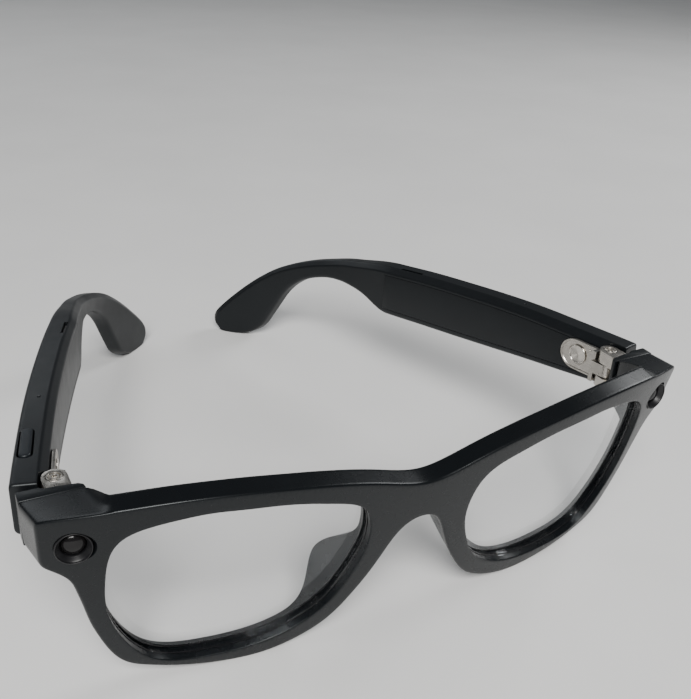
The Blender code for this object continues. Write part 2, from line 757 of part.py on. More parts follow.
def touch_flex(side, axes, mats):
    parent = axes["temple_right"]
    bowed_bar("touch_sensor_flex", side, (17.0, 52.0), (6.12, 6.24), below_top(3.6), above_low(3.0), parent,
              mats["touch"], step=6)


# ---------------------------------------------------------------- assembly
def make_materials():
    shell = (0.028, 0.031, 0.034)
    metal = (0.62, 0.61, 0.58)
    table = {"shell": (shell, 0.42), "flex": ((0.35, 0.2, 0.05), 0.5), "strip": ((0.02, 0.02, 0.022), 0.5),
             "camera_ring": ((0.05, 0.05, 0.055), 0.3), "capture_light_ring": ((0.05, 0.05, 0.055), 0.3),
             "camera_window": ((0.01, 0.01, 0.015), 0.05), "capture_light_window": ((0.03, 0.025, 0.03), 0.15),
             "camera_module": ((0.02, 0.02, 0.02), 0.4), "camera_board": ((0.02, 0.12, 0.05), 0.5),
             "light_guide": ((0.7, 0.7, 0.7), 0.2), "light_board": ((0.02, 0.12, 0.05), 0.5),
             "button": ((0.04, 0.042, 0.044), 0.4), "switch": ((0.3, 0.3, 0.3), 0.4),
             "touch": ((0.4, 0.22, 0.06), 0.5)}
    for side in ("left", "right"):
        table["lens_" + side] = ((0.8, 0.82, 0.82), 0.03, 0.0, 0.25)
        table["contact_" + side] = ((0.75, 0.6, 0.25), 0.25, 1.0)
        table["cover_" + side] = (shell, 0.45)
        table["leaf_" + side] = (metal, 0.3, 1.0)
        table["plate_" + side] = (metal, 0.28, 1.0)
        table["disc_" + side] = (metal, 0.2, 1.0)
        table["screw_" + side] = (metal, 0.25, 1.0)
        table["temple_" + side] = (shell, 0.45)
        table["inner_" + side] = ((0.012, 0.013, 0.017), 0.5)
        table["speaker_" + side] = ((0.03, 0.03, 0.03), 0.5)
        table["mesh_" + side] = ((0.02, 0.02, 0.02), 0.6)
        table["battery_" + side] = ((0.15, 0.16, 0.18), 0.4)
        table["board_" + side] = ((0.02, 0.12, 0.05), 0.5)
        table["mic_" + side] = (metal, 0.35, 1.0)
    return {name: paint(name, *values) for name, values in table.items()}


def make_axes():
    axes = {"front": empty("front_axes", front_axes())}
    for side in (1, -1):
        name = side_name(side)
        axes["end_" + name] = empty("endpiece_axes_" + name, hinge_axes(side, 0.0))
        axes["temple_" + name] = empty("temple_axes_" + name, hinge_axes(side, REST_FOLD))
        axes["well_" + name] = empty("well_axes_" + name, well_axes(side))
    axes["button"] = empty("button_axes", hinge_axes(-1, REST_FOLD))
    return axes


def main():
    for obj in list(bpy.data.objects):
        bpy.data.objects.remove(obj, do_unlink=True)
    axes = make_axes()
    mats = make_materials()
    build_front(axes, mats)
    camera(1, axes, mats)
    capture_light(-1, axes, mats)
    for side in (1, -1):
        endpiece_cover(side, axes, mats)
        front_leaf(side, axes, mats)
        screw(side, axes, mats)
        temple_leaf(side, axes, mats)
        shell = temple_shell(side, axes, mats)
        inner_cover(side, axes, mats)
        combine(shell, temple_inside(side, axes, mats))
        if side < 0:
            capture_button(side, shell, axes, mats)
            touch_flex(side, axes, mats)


main()
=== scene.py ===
"""Smart glasses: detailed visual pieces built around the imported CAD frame.

Lengths below are millimetres and angles degrees; +X to the wearer's left, -Y ahead of the wearer, +Z up.
"""

import json
import math

import bmesh
import bpy
import numpy as np
from mathutils import Matrix, Vector
from mathutils.geometry import delaunay_2d_cdt

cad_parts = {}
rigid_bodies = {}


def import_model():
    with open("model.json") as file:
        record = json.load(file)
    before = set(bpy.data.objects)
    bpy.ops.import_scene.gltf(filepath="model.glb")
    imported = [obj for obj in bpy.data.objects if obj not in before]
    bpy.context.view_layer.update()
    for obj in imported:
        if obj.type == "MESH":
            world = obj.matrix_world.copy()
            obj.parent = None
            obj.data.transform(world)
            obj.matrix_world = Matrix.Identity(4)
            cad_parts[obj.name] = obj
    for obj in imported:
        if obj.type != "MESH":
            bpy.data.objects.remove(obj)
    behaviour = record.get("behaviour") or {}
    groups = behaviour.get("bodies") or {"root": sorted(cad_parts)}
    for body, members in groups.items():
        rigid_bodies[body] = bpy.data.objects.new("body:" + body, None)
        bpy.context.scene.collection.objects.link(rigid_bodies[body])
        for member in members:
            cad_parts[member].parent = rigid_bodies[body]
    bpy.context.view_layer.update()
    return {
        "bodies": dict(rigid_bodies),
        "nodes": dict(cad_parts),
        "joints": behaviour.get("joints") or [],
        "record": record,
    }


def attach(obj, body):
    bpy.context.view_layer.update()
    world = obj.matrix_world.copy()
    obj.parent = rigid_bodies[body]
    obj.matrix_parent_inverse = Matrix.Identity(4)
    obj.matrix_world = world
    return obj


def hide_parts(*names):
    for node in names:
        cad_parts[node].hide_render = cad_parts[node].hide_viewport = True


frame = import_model()

MM = 0.001

# Front, in its own axes: u to the wearer's left, w rearward, v up along the lean
LEAN = 11.57
PIVOT_IN_FRONT = (64.36, 24.06, 17.83)
FRONT_T = 4.54
WRAP_2 = 0.958e-3
WRAP_4 = 2.241e-7
BROW = [(0, 17.65), (6, 19.81), (12, 21.9), (18, 23.53), (26, 25.09), (38, 26.57), (50, 26.58), (62, 24.71),
        (70.5, 22.51)]
LOWER = [(70.17, 11.39), (66.0, 8.3), (64.3, 2.8), (62.1, -6.5), (57.9, -15.8), (51.5, -19.0), (39.7, -21.4),
         (28.5, -21.4), (17.8, -16.7), (10.7, -7.1), (5.8, 3.9), (4.3, 8.1), (0, 10.13)]
OPENING = [(60.2, 6.8), (57.5, 18.6), (45.7, 22.7), (36.6, 22.4), (29.6, 21.7), (22.5, 19.9), (13.7, 16.1),
           (11.3, 6.8), (13.6, -2.6), (18.5, -11.4), (27.6, -17.0), (38.8, -18.5), (51.7, -16.7),
           (58.8, -5.7)]
BROW_STEPS = 150
LOWER_STEPS = 230
SIDE_STEPS = 20
OPENING_STEPS = 230
CORNER_PASSES = 7
BRIDGE_PASSES = 110
FACE_ROUND = 0.5
REAR_ROUND = 0.8
LIP_ROUND = 0.3
GROOVE_DEEP = 0.9
GROOVE_FROM = 1.5
GROOVE_TO = 3.5
GROOVE_EASE = 0.15
LENS_T = 1.4
LENS_IN_GROOVE = 0.6
# Radius of the dark tubes that paint the shade line where each lens meets the rim
PAINTED_SHADE_LINE_R = 0.17
PAD_RISE = 6.4
PAD_V = -6.2
PAD_REACH = 13.0
PAD_SPLAY = 0.22
PAD_FALL = 2.3
PAD_FADE = (14.5, 27.0)
CONTACT_U = 2.7
CONTACT_V = 13.4
BROW_DROP = 1.75
END_INNER = 58.2
END_OUTER = 61.0
END_TOP = 19.8
END_BOTTOM = 10.4
END_FLARE = 1.3
WELL_U = 64.9
WELL_V = 16.6
WELL_TURN = 10.0
WELL_R = 3.3
# Bars behind the brow: half length, half height, then depth from and to
CHANNEL = (57.0, 0.6, 3.1, 5.4)
STRIP = (56.7, 0.45, 3.75, 4.55)

# Endpiece covers and hinges, in axes at the hinge pin: l outboard, s rearward, h up
END_BACK = -6.3
COVER_PLAN = [(7.22, -6.0), (7.22, -3.1), (3.2, -3.1), (2.9, -3.5), (-3.2, -4.4), (-4.0, -5.0), (-4.2, -6.0)]
COVER_H = (-8.8, 0.62)
POCKET = ((-3.5, 4.2), (-12.6, -5.0), (-8.1, -0.9))
KNUCKLE_R = 2.3
TOP_KNUCKLE = (-3.2, -0.1)
MID_KNUCKLE = (-6.5, -3.5)
LOW_KNUCKLE = (-9.4, -6.8)
SCREW_R = 0.8
SCREW_HEAD_R = 1.5
SCREW_GAP = 0.15
PLATE_L = (0.15, 0.8)
DISC_AT = (8.6, -5.0)
RELIEF_R = 2.75

# Temples: side profile as pairs of top and bottom points, then the width across
PROFILE = [((-2.6, 0.6), (-2.6, -10.3)), ((2, 0.55), (2, -10.7)), ((12, 0.35), (12, -12.0)),
           ((25, 0.1), (25, -13.5)), ((36, -0.5), (36, -14.8)), ((48, -1.4), (48, -16.1)),
           ((60, -2.4), (60, -17.2)), ((70, -3.5), (70, -18.1)), ((74.5, -4.0), (74.5, -18.3)),
           ((78.5, -4.7), (78, -17.4)), ((82, -5.5), (81.5, -16.1)), ((86, -6.5), (85.5, -15.2)),
           ((92, -7.9), (91.5, -14.8)), ((98, -9.7), (97, -15.2)), ((104, -11.6), (102, -16.6)),
           ((110, -14.0), (106.5, -18.7)), ((116, -17.1), (110.5, -21.8)), ((121, -20.8), (113.5, -25.5)),
           ((125.5, -24.9), (116, -30.0)), ((129.5, -29.2), (118.5, -34.8)), ((133, -33.4), (121.0, -39.2)),
           ((135.3, -36.9), (124.5, -42.1)), ((135.6, -40.1), (128.0, -43.25)),
           ((134.0, -42.3), (130.8, -43.34))]
STRAIGHT_STATIONS = 16
OUTER = 7.54
INNER = 1.1
THICKNESS = [(0, 6.44), (72, 6.44), (92, 4.9), (118, 4.4), (137, 4.0)]
BOW_2 = 6.9
BOW_TIP = 14.6
TOP_CUT = 1.5
ROUND = 0.7
SECTION_RADII = (1.5, ROUND + 0.35, 0.45, 0.45, 1.2)
STATION_STEP = 1.2
HOLLOW_S = (-1.0, 74.0)
WALL = 1.2
ROOF = 2.2
FLOOR = 1.6
COVER_T = 1.0
GAP = 0.25
SEAM = 0.09
BUTTON_S = 10.9
BUTTON_L = 5.45
BUTTON_LEN = 9.6
BUTTON_W = 2.2
BUTTON_PROUD = 0.35
MIC_S = 28.5
MIC_L = 4.55
VENT_S = (62.0, 69.5)
VENT_L = (2.75, 3.65)
CLOTH_S = (62.2, 69.3)
CLOTH_L = (2.9, 3.5)

# View of the reference angle, in the front's axes
EYE = (-85.2, -93.4, 141.2)
EYE_AZ = -32.799
EYE_EL = 37.441
EYE_ROLL = 10.353
EYE_LENS = 47.46
EYE_SHIFT = 0.0032

# Stage, in metres. Lights: name, place, target, size, watts, colour
FLOOR_R = 1.6
WORLD_COLOUR = (0.9, 0.95, 1.0, 1.0)
WORLD_STRENGTH = 0.16
LIGHTS = [("key", (-0.35, -0.75, 0.8), (0, 0, 0.0), (0.6, 0.45), 19.0, (1.0, 0.985, 0.965)),
          ("side", (0.75, 0.1, 0.5), (0, -0.02, 0.02), (0.35, 0.35), 3.0, (1, 1, 1)),
          ("back", (-0.2, 0.8, 0.45), (0, 0, 0.02), (0.7, 0.15), 0.7, (0.94, 0.97, 1.0))]


# ---------------------------------------------------------------- axes
def find_joint(frame, name):
    for joint in frame["record"]["behaviour"]["joints"]:
        if joint["name"] == name:
            return joint
    raise ValueError("no joint " + name)


def read_axes(frame):
    left = Vector(find_joint(frame, "left_temple_hinge")["pos_m"])
    right = Vector(find_joint(frame, "right_temple_hinge")["pos_m"])
    lean = Matrix.Rotation(math.radians(LEAN), 4, "X")
    corner = left - lean @ (Vector(PIVOT_IN_FRONT) * MM)
    axes = {"front": Matrix.Translation(corner) @ lean}
    for side, place in ((1, left), (-1, right)):
        name = side_name(side)
        axes["end_" + name] = Matrix.Translation(place)
        fold = rest_fold(frame, side)
        axes["temple_" + name] = Matrix.Translation(place) @ Matrix.Rotation(side * fold, 4, "Z")
        well = axes["front"] @ (Vector((side * WELL_U, wrap(WELL_U), WELL_V)) * MM)
        turn = Matrix.Rotation(math.radians(side * WELL_TURN), 4, "Z")
        axes["well_" + name] = Matrix.Translation(well) @ turn
    return axes


def rest_fold(frame, side):
    """Angle between a temple at rest and straight back: its joint's lower limit is fully open."""
    joint = find_joint(frame, side_name(side) + "_temple_hinge")
    return -math.radians(joint["range_deg"][0])


def side_name(side):
    return "left" if side > 0 else "right"


def wrap(u):
    return WRAP_2 * u * u + WRAP_4 * u ** 4


def smooth(a, b, x):
    t = min(1.0, max(0.0, (x - a) / (b - a)))
    return t * t * (3 - 2 * t)


def lookup(table, x):
    for (x0, y0), (x1, y1) in zip(table, table[1:]):
        if x <= x1:
            return y0 + (y1 - y0) * max(0.0, (x - x0) / (x1 - x0))
    return table[-1][1]


# ---------------------------------------------------------------- curves
def catmull(p0, p1, p2, p3, t):
    a = 2 * p1
    b = p2 - p0
    c = 2 * p0 - 5 * p1 + 4 * p2 - p3
    d = 3 * p1 - p0 - 3 * p2 + p3
    return 0.5 * (a + b * t + c * t * t + d * t ** 3)


def run_curve(points, closed):
    pts = [Vector(p) for p in points]
    n = len(pts)
    dense = []
    for i in range(n if closed else n - 1):
        if closed:
            quad = [pts[(i + k) % n] for k in (-1, 0, 1, 2)]
        else:
            quad = [pts[max(i - 1, 0)], pts[i], pts[i + 1], pts[min(i + 2, n - 1)]]
        dense += [catmull(*quad, k / 24) for k in range(24)]
    if not closed:
        dense.append(pts[-1])
    return dense


def brow_table():
    """Points of the brow's top edge from the middle outward, level at the middle."""
    mirrored = [(-u, v) for u, v in reversed(BROW[1:3])]
    return [tuple(p) for p in run_curve(mirrored + BROW, False) if p[0] >= -0.01]


BROW_TABLE = brow_table()


def brow_line(u):
    """Height of the brow's top edge, as a smooth curve."""
    return lookup(BROW_TABLE, abs(u))


def resample(points, count, closed):
    dense = run_curve(points, closed)
    if closed:
        dense.append(dense[0])
    lengths = [0.0]
    for a, b in zip(dense, dense[1:]):
        lengths.append(lengths[-1] + (b - a).length)
    out = []
    k = 0
    for i in range(count if closed else count + 1):
        want = lengths[-1] * i / count
        while k < len(dense) - 2 and lengths[k + 1] < want:
            k += 1
        span = max(1e-9, lengths[k + 1] - lengths[k])
        out.append(dense[k].lerp(dense[k + 1], min(1.0, (want - lengths[k]) / span)))
    return out


def relax(loop, passes, moves=lambda p: True):
    """Rounds the corners of a closed loop where moves(point) holds."""
    for _ in range(passes):
        n = len(loop)
        eased = []
        for i, p in enumerate(loop):
            if moves(p):
                p = p * 0.5 + (loop[i - 1] + loop[(i + 1) % n]) * 0.25
            eased.append(p)
        loop = eased
    return loop


def outward(loop):
    n = len(loop)
    area = sum(loop[i].x * loop[(i + 1) % n].y - loop[(i + 1) % n].x * loop[i].y for i in range(n))
    sign = 1 if area > 0 else -1
    normals = []
    for i in range(n):
        t = loop[(i + 1) % n] - loop[i - 1]
        normals.append(Vector((t.y, -t.x)).normalized() * sign)
    return normals


def outline_loop():
    top = resample(BROW, BROW_STEPS, False)
    low = resample(LOWER, LOWER_STEPS, False)
    side = [top[-1].lerp(low[0], k / SIDE_STEPS) for k in range(1, SIDE_STEPS)]
    right = top + side + low
    left = [Vector((-p.x, p.y)) for p in reversed(right[1:-1])]
    loop = relax(right + left, CORNER_PASSES)
    return relax(loop, BRIDGE_PASSES, lambda p: abs(p.x) < 7)


def opening_loop(side):
    loop = relax(resample(OPENING, OPENING_STEPS, True), 20)
    return [Vector((side * p.x, p.y)) for p in loop]


def soft_corner(a, b, c, radius, share, steps):
    """Points round the corner b between a and c, cut back by the radius or a share of a side."""
    cut = min(radius, (a - b).length * share, (c - b).length * share)
    p = b + (a - b).normalized() * cut
    q = b + (c - b).normalized() * cut
    out = []
    for k in range(steps + 1):
        t = k / steps
        out.append((p * (1 - t) + b * t) * (1 - t) + (b * (1 - t) + q * t) * t)
    return out


def quarter(steps):
    """Pairs of (inset share, depth share) round a quarter circle, from the flat face to the wall."""
    angles = [math.pi / 2 * k / steps for k in range(steps + 1)]
    return [(1 - math.sin(a), 1 - math.cos(a)) for a in angles]


# ---------------------------------------------------------------- mesh makers
def make_mesh(name, verts, faces, matrix, angle=32):
    mesh = bpy.data.meshes.new(name)
    mesh.from_pydata([Vector(v) * MM for v in verts], [], faces)
    bm = bmesh.new()
    bm.from_mesh(mesh)
    bmesh.ops.remove_doubles(bm, verts=bm.verts, dist=1e-7)
    bmesh.ops.recalc_face_normals(bm, faces=bm.faces)
    bm.to_mesh(mesh)
    bm.free()
    mesh.shade_smooth()
    mesh.set_sharp_from_angle(angle=math.radians(angle))
    obj = bpy.data.objects.new(name, mesh)
    bpy.context.scene.collection.objects.link(obj)
    obj.matrix_world = matrix
    return obj


def ring_faces(count, rings, start=0):
    faces = []
    for r in range(rings - 1):
        for i in range(count):
            j = (i + 1) % count
            a, b = start + r * count, start + (r + 1) * count
            faces.append((a + i, a + j, b + j, b + i))
    return faces


def loft(name, rings, matrix):
    count = len(rings[0])
    verts = [tuple(p) for ring in rings for p in ring]
    faces = ring_faces(count, len(rings))
    faces.append(tuple(range(count)))
    last = (len(rings) - 1) * count
    faces.append(tuple(last + i for i in range(count)))
    return make_mesh(name, verts, faces, matrix)


def box(name, xs, ys, zs, matrix):
    ring = [(xs[0], zs[0]), (xs[1], zs[0]), (xs[1], zs[1]), (xs[0], zs[1])]
    return loft(name, [[(x, y, z) for x, z in ring] for y in ys], matrix)


def turned(name, profile, steps, axis, centre, matrix, closed=False):
    """Solid of revolution: profile is (radius, height along axis), an open line or a closed loop."""
    rings = []
    for radius, height in profile:
        ring = []
        for i in range(steps):
            a = 2 * math.pi * i / steps
            c, s = radius * math.cos(a), radius * math.sin(a)
            p = {"x": (height, c, s), "y": (c, height, s), "z": (c, s, height)}[axis]
            ring.append(tuple(p[k] + centre[k] for k in range(3)))
        rings.append(ring)
    if not closed:
        return loft(name, rings, matrix)
    verts = [p for ring in rings for p in ring]
    return make_mesh(name, verts, wrap_rings(steps, len(rings)), matrix)


def wrap_rings(count, rings):
    faces = []
    for r in range(rings):
        a, b = r * count, (r + 1) % rings * count
        faces += [(a + i, a + (i + 1) % count, b + (i + 1) % count, b + i) for i in range(count)]
    return faces


def combine(target, tool, how="DIFFERENCE"):
    mod = target.modifiers.new(tool.name, "BOOLEAN")
    mod.operation = how
    mod.solver = "EXACT"
    mod.object = tool


def soften(obj, width, angle=35, segments=3):
    mod = obj.modifiers.new("edge", "BEVEL")
    mod.width = width * MM
    mod.segments = segments
    mod.limit_method = "ANGLE"
    mod.angle_limit = math.radians(angle)
    mod.use_clamp_overlap = True


def settle(obj, angle=32):
    """Applies the modifiers, then removes the tools that they used."""
    bpy.context.view_layer.update()
    tools = [m.object for m in obj.modifiers if m.type == "BOOLEAN"]
    mesh = bpy.data.meshes.new_from_object(obj.evaluated_get(bpy.context.evaluated_depsgraph_get()))
    obj.modifiers.clear()
    old = obj.data
    obj.data = mesh
    bpy.data.meshes.remove(old)
    mesh.materials.clear()
    mesh.shade_smooth()
    mesh.set_sharp_from_angle(angle=math.radians(angle))
    for tool in tools:
        bpy.data.objects.remove(tool, do_unlink=True)
    mesh.name = obj.name
    return obj


def even_shading(obj):
    mod = obj.modifiers.new("shading", "WEIGHTED_NORMAL")
    mod.keep_sharp = True
    mod.weight = 60


def place(obj, body, nodes, slot, material, own_axes=False):
    """Rides the piece on its body, stands in for the CAD nodes and takes the material."""
    if not own_axes:
        obj.data.transform(obj.matrix_world)
        obj.matrix_world = Matrix.Identity(4)
    obj.data.materials.clear()
    obj.data.materials.append(material)
    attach(obj, body)
    if nodes:
        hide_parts(*nodes)


# ---------------------------------------------------------------- node helpers
def new_material(name):
    mat = bpy.data.materials.new(name)
    mat.use_nodes = True
    return mat, mat.node_tree, mat.node_tree.nodes["Principled BSDF"]


def local_point(nt, stretch=(1, 1, 1)):
    coord = nt.nodes.new("ShaderNodeTexCoord")
    mapping = nt.nodes.new("ShaderNodeMapping")
    mapping.inputs["Scale"].default_value = stretch
    nt.links.new(coord.outputs["Object"], mapping.inputs["Vector"])
    return mapping.outputs["Vector"]


def noise(nt, scale, detail=4.0, stretch=(1, 1, 1), roughness=0.55):
    node = nt.nodes.new("ShaderNodeTexNoise")
    node.inputs["Scale"].default_value = scale
    node.inputs["Detail"].default_value = detail
    node.inputs["Roughness"].default_value = roughness
    nt.links.new(local_point(nt, stretch), node.inputs["Vector"])
    return node.outputs["Fac"]


def spread(nt, value, low, high, start=0.3, end=0.7):
    node = nt.nodes.new("ShaderNodeMapRange")
    node.inputs["From Min"].default_value = start
    node.inputs["From Max"].default_value = end
    node.inputs["To Min"].default_value = low
    node.inputs["To Max"].default_value = high
    nt.links.new(value, node.inputs["Value"])
    return node.outputs["Result"]


def ramp(nt, value, stops):
    node = nt.nodes.new("ShaderNodeValToRGB")
    while len(node.color_ramp.elements) < len(stops):
        node.color_ramp.elements.new(0.5)
    for element, (at, colour) in zip(node.color_ramp.elements, stops):
        element.position = at
        element.color = (*colour, 1.0)
    nt.links.new(value, node.inputs["Fac"])
    return node.outputs["Color"]


def bump(nt, height, strength, depth_mm):
    node = nt.nodes.new("ShaderNodeBump")
    node.inputs["Strength"].default_value = strength
    node.inputs["Distance"].default_value = depth_mm * MM
    nt.links.new(height, node.inputs["Height"])
    return node.outputs["Normal"]


def scaled(colour, share):
    return tuple(min(1.0, c * share) for c in colour)


def plastic(name, colour, rough, grain=0.5, specular=0.5, fleck=1.6):
    """Moulded plastic: cloudy colour, a fine spark-eroded grain and a little dust."""
    mat, nt, shader = new_material(name)
    cloud = noise(nt, 90.0, 5.0)
    dust = noise(nt, 5200.0, 1.0)
    base = ramp(nt, cloud, [(0.3, scaled(colour, 0.92)), (0.55, colour), (0.75, scaled(colour, 1.1))])
    mix = nt.nodes.new("ShaderNodeMix")
    mix.data_type = "RGBA"
    mix.blend_type = "MIX"
    nt.links.new(spread(nt, dust, 0.0, 0.45, 0.76, 0.82), mix.inputs["Factor"])
    nt.links.new(base, mix.inputs["A"])
    mix.inputs["B"].default_value = (*scaled([c + 0.02 for c in colour], fleck), 1.0)
    nt.links.new(mix.outputs["Result"], shader.inputs["Base Color"])
    nt.links.new(spread(nt, noise(nt, 240.0, 4.0), rough - 0.02, rough + 0.03), shader.inputs["Roughness"])
    shader.inputs["Specular IOR Level"].default_value = specular
    shader.inputs["Specular Tint"].default_value = (0.93, 0.98, 1.0, 1.0)
    fine = noise(nt, 3800.0, 3.0)
    nt.links.new(bump(nt, fine, grain, 0.012), shader.inputs["Normal"])
    return mat


def metal(name, colour, rough, stretch=(1, 1, 1), depth=0.006):
    """Turned or brushed metal: fine lines along one way and a soft change of tone."""
    mat, nt, shader = new_material(name)
    tone = noise(nt, 400.0, 4.0)
    lines = noise(nt, 2600.0, 3.0, stretch)
    stops = [(0.3, scaled(colour, 0.88)), (0.55, colour), (0.75, scaled(colour, 1.08))]
    nt.links.new(ramp(nt, tone, stops), shader.inputs["Base Color"])
    shader.inputs["Metallic"].default_value = 1.0
    nt.links.new(spread(nt, lines, rough - 0.06, rough + 0.08), shader.inputs["Roughness"])
    nt.links.new(bump(nt, lines, 0.35, depth), shader.inputs["Normal"])
    return mat


def turned_metal(name, colour, rough, axis):
    """Metal faced on a lathe: concentric tool lines about the piece's own axis."""
    mat, nt, shader = new_material(name)
    wave = nt.nodes.new("ShaderNodeTexWave")
    wave.wave_type = "RINGS"
    wave.rings_direction = axis
    wave.inputs["Scale"].default_value = 1900.0
    wave.inputs["Distortion"].default_value = 0.6
    wave.inputs["Detail"].default_value = 2.0
    nt.links.new(local_point(nt), wave.inputs["Vector"])
    stops = [(0.2, scaled(colour, 0.84)), (0.6, colour), (0.9, scaled(colour, 1.1))]
    nt.links.new(ramp(nt, wave.outputs["Fac"], stops), shader.inputs["Base Color"])
    shader.inputs["Metallic"].default_value = 1.0
    shader.inputs["Anisotropic"].default_value = 0.9
    shader.inputs["Anisotropic Rotation"].default_value = 0.25
    tangent = nt.nodes.new("ShaderNodeTangent")
    tangent.direction_type = "RADIAL"
    tangent.axis = axis
    nt.links.new(tangent.outputs["Tangent"], shader.inputs["Tangent"])
    nt.links.new(spread(nt, noise(nt, 900.0), rough - 0.05, rough + 0.06), shader.inputs["Roughness"])
    nt.links.new(bump(nt, wave.outputs["Fac"], 0.12, 0.004), shader.inputs["Normal"])
    return mat


def clear_lens(name):
    """Thin clear lens: see-through face on, mirroring more at a glancing angle, with faint smears."""
    mat, nt, shader = new_material(name)
    smear = noise(nt, 55.0, 6.0, (1, 1, 2.2))
    stops = [(0.35, (0.86, 0.89, 0.92)), (0.7, (0.93, 0.95, 0.97))]
    nt.links.new(ramp(nt, smear, stops), shader.inputs["Base Color"])
    shader.inputs["Metallic"].default_value = 1.0
    nt.links.new(spread(nt, smear, 0.015, 0.07, 0.45, 0.75), shader.inputs["Roughness"])
    edge_on = nt.nodes.new("ShaderNodeLayerWeight")
    steep = nt.nodes.new("ShaderNodeMath")
    steep.operation = "POWER"
    steep.inputs[1].default_value = 4.0
    nt.links.new(edge_on.outputs["Facing"], steep.inputs[0])
    share = spread(nt, steep.outputs["Value"], 0.03, 0.6, 0.0, 1.0)
    nt.links.new(share, shader.inputs["Alpha"])
    return mat


def glossy(name, colour, rough, coat=1.0):
    """Dark glass or lacquered plastic with a clear coat and faint wipe marks."""
    mat, nt, shader = new_material(name)
    wipe = noise(nt, 700.0, 5.0, (1, 1, 3))
    stops = [(0.3, scaled(colour, 0.85)), (0.7, scaled(colour, 1.15))]
    nt.links.new(ramp(nt, wipe, stops), shader.inputs["Base Color"])
    nt.links.new(spread(nt, wipe, rough, rough + 0.05), shader.inputs["Roughness"])
    shader.inputs["Coat Weight"].default_value = coat
    shader.inputs["Coat Roughness"].default_value = 0.03
    shader.inputs["Specular IOR Level"].default_value = 0.3
    return mat


def woven_mesh(name):
    """Acoustic mesh: a grid of fine holes in dark cloth."""
    mat, nt, shader = new_material(name)
    cells = nt.nodes.new("ShaderNodeTexVoronoi")
    cells.inputs["Scale"].default_value = 3600.0
    cells.inputs["Randomness"].default_value = 0.15
    nt.links.new(local_point(nt), cells.inputs["Vector"])
    stops = [(0.25, (0.004, 0.004, 0.005)), (0.5, (0.05, 0.052, 0.056))]
    nt.links.new(ramp(nt, cells.outputs["Distance"], stops), shader.inputs["Base Color"])
    nt.links.new(spread(nt, cells.outputs["Distance"], 0.45, 0.7, 0.0, 0.6), shader.inputs["Roughness"])
    nt.links.new(bump(nt, cells.outputs["Distance"], 0.8, 0.05), shader.inputs["Normal"])
    return mat


def board(name):
    """Circuit board: solder mask with copper runs showing through."""
    mat, nt, shader = new_material(name)
    brick = nt.nodes.new("ShaderNodeTexBrick")
    brick.inputs["Scale"].default_value = 420.0
    brick.inputs["Color1"].default_value = (0.012, 0.09, 0.035, 1.0)
    brick.inputs["Color2"].default_value = (0.016, 0.12, 0.05, 1.0)
    brick.inputs["Mortar"].default_value = (0.04, 0.2, 0.08, 1.0)
    nt.links.new(local_point(nt), brick.inputs["Vector"])
    nt.links.new(brick.outputs["Color"], shader.inputs["Base Color"])
    nt.links.new(spread(nt, noise(nt, 900.0), 0.3, 0.5), shader.inputs["Roughness"])
    nt.links.new(bump(nt, brick.outputs["Fac"], 0.4, 0.03), shader.inputs["Normal"])
    return mat


def make_materials():
    shell = (0.0034, 0.0041, 0.0050)
    nickel = (0.50, 0.475, 0.435)
    return {
        "front": plastic("front_plastic_look", shell, 0.27, 0.09, 0.25),
        "temple": plastic("temple_plastic_look", scaled(shell, 1.1), 0.38, 0.3, 0.34),
        "cover": plastic("cover_plastic_look", scaled(shell, 1.1), 0.36, 0.3, 0.34),
        "inner": plastic("inner_plastic_look", scaled(shell, 1.05), 0.38, 0.3, 0.32),
        "strip": plastic("strip_plastic_look", scaled(shell, 1.3), 0.5, 0.6, 0.4),
        "button": plastic("button_plastic_look", scaled(shell, 2.6), 0.4, 0.3, 0.36),
        "switch": plastic("switch_look", (0.3, 0.3, 0.31), 0.4, 0.3),
        "battery": plastic("battery_wrap_look", (0.15, 0.16, 0.18), 0.35, 0.8),
        "speaker": plastic("speaker_look", (0.025, 0.025, 0.027), 0.5, 0.8),
        "flex": plastic("flex_look", (0.35, 0.19, 0.05), 0.4, 0.3),
        "nickel": metal("hinge_nickel_look", nickel, 0.3, (1, 0.08, 1)),
        "plate": metal("plate_nickel_look", nickel, 0.3, (1, 0.1, 1), 0.008),
        "disc": turned_metal("disc_nickel_look", scaled(nickel, 1.3), 0.2, "X"),
        "screw": metal("screw_nickel_look", nickel, 0.36, (1, 1, 0.2), 0.004),
        "mic": metal("microphone_can_look", (0.6, 0.6, 0.6), 0.35),
        "gold": turned_metal("contact_gold_look", (0.83, 0.62, 0.28), 0.22, "Y"),
        "lens": clear_lens("clear_lens_look"),
        # Near-black glossy colour of the painted shade lines at the lens edges
        "painted_shade_line": glossy("lens_painted_shade_line_look", (0.006, 0.006, 0.007), 0.12, 0.3),
        "ring": glossy("ring_black_look", (0.008, 0.008, 0.009), 0.34, 0.0),
        "window": glossy("window_black_look", (0.002, 0.002, 0.003), 0.07, 0.0),
        "light_window": glossy("light_window_look", (0.005, 0.0045, 0.0048), 0.16, 0.0),
        "module": glossy("module_black_look", (0.006, 0.006, 0.008), 0.2),
        "guide": glossy("light_guide_look", (0.6, 0.6, 0.62), 0.2),
        "mesh": woven_mesh("vent_mesh_look"),
        "board": board("board_look"),
    }


# ---------------------------------------------------------------- front frame
def endpiece_share(u, v):
    return smooth(END_INNER, END_OUTER, abs(u)) * smooth(8.0, 11.0, v)


def pad_rise(u, v):
    """How far the rear of the rim swells back into the moulded nose pad."""
    t = min(1.0, abs((v - PAD_V) / PAD_REACH))
    swell = math.cos(math.pi / 2 * t) ** PAD_FALL
    return PAD_RISE * swell * (1 - smooth(*PAD_FADE, abs(u)))


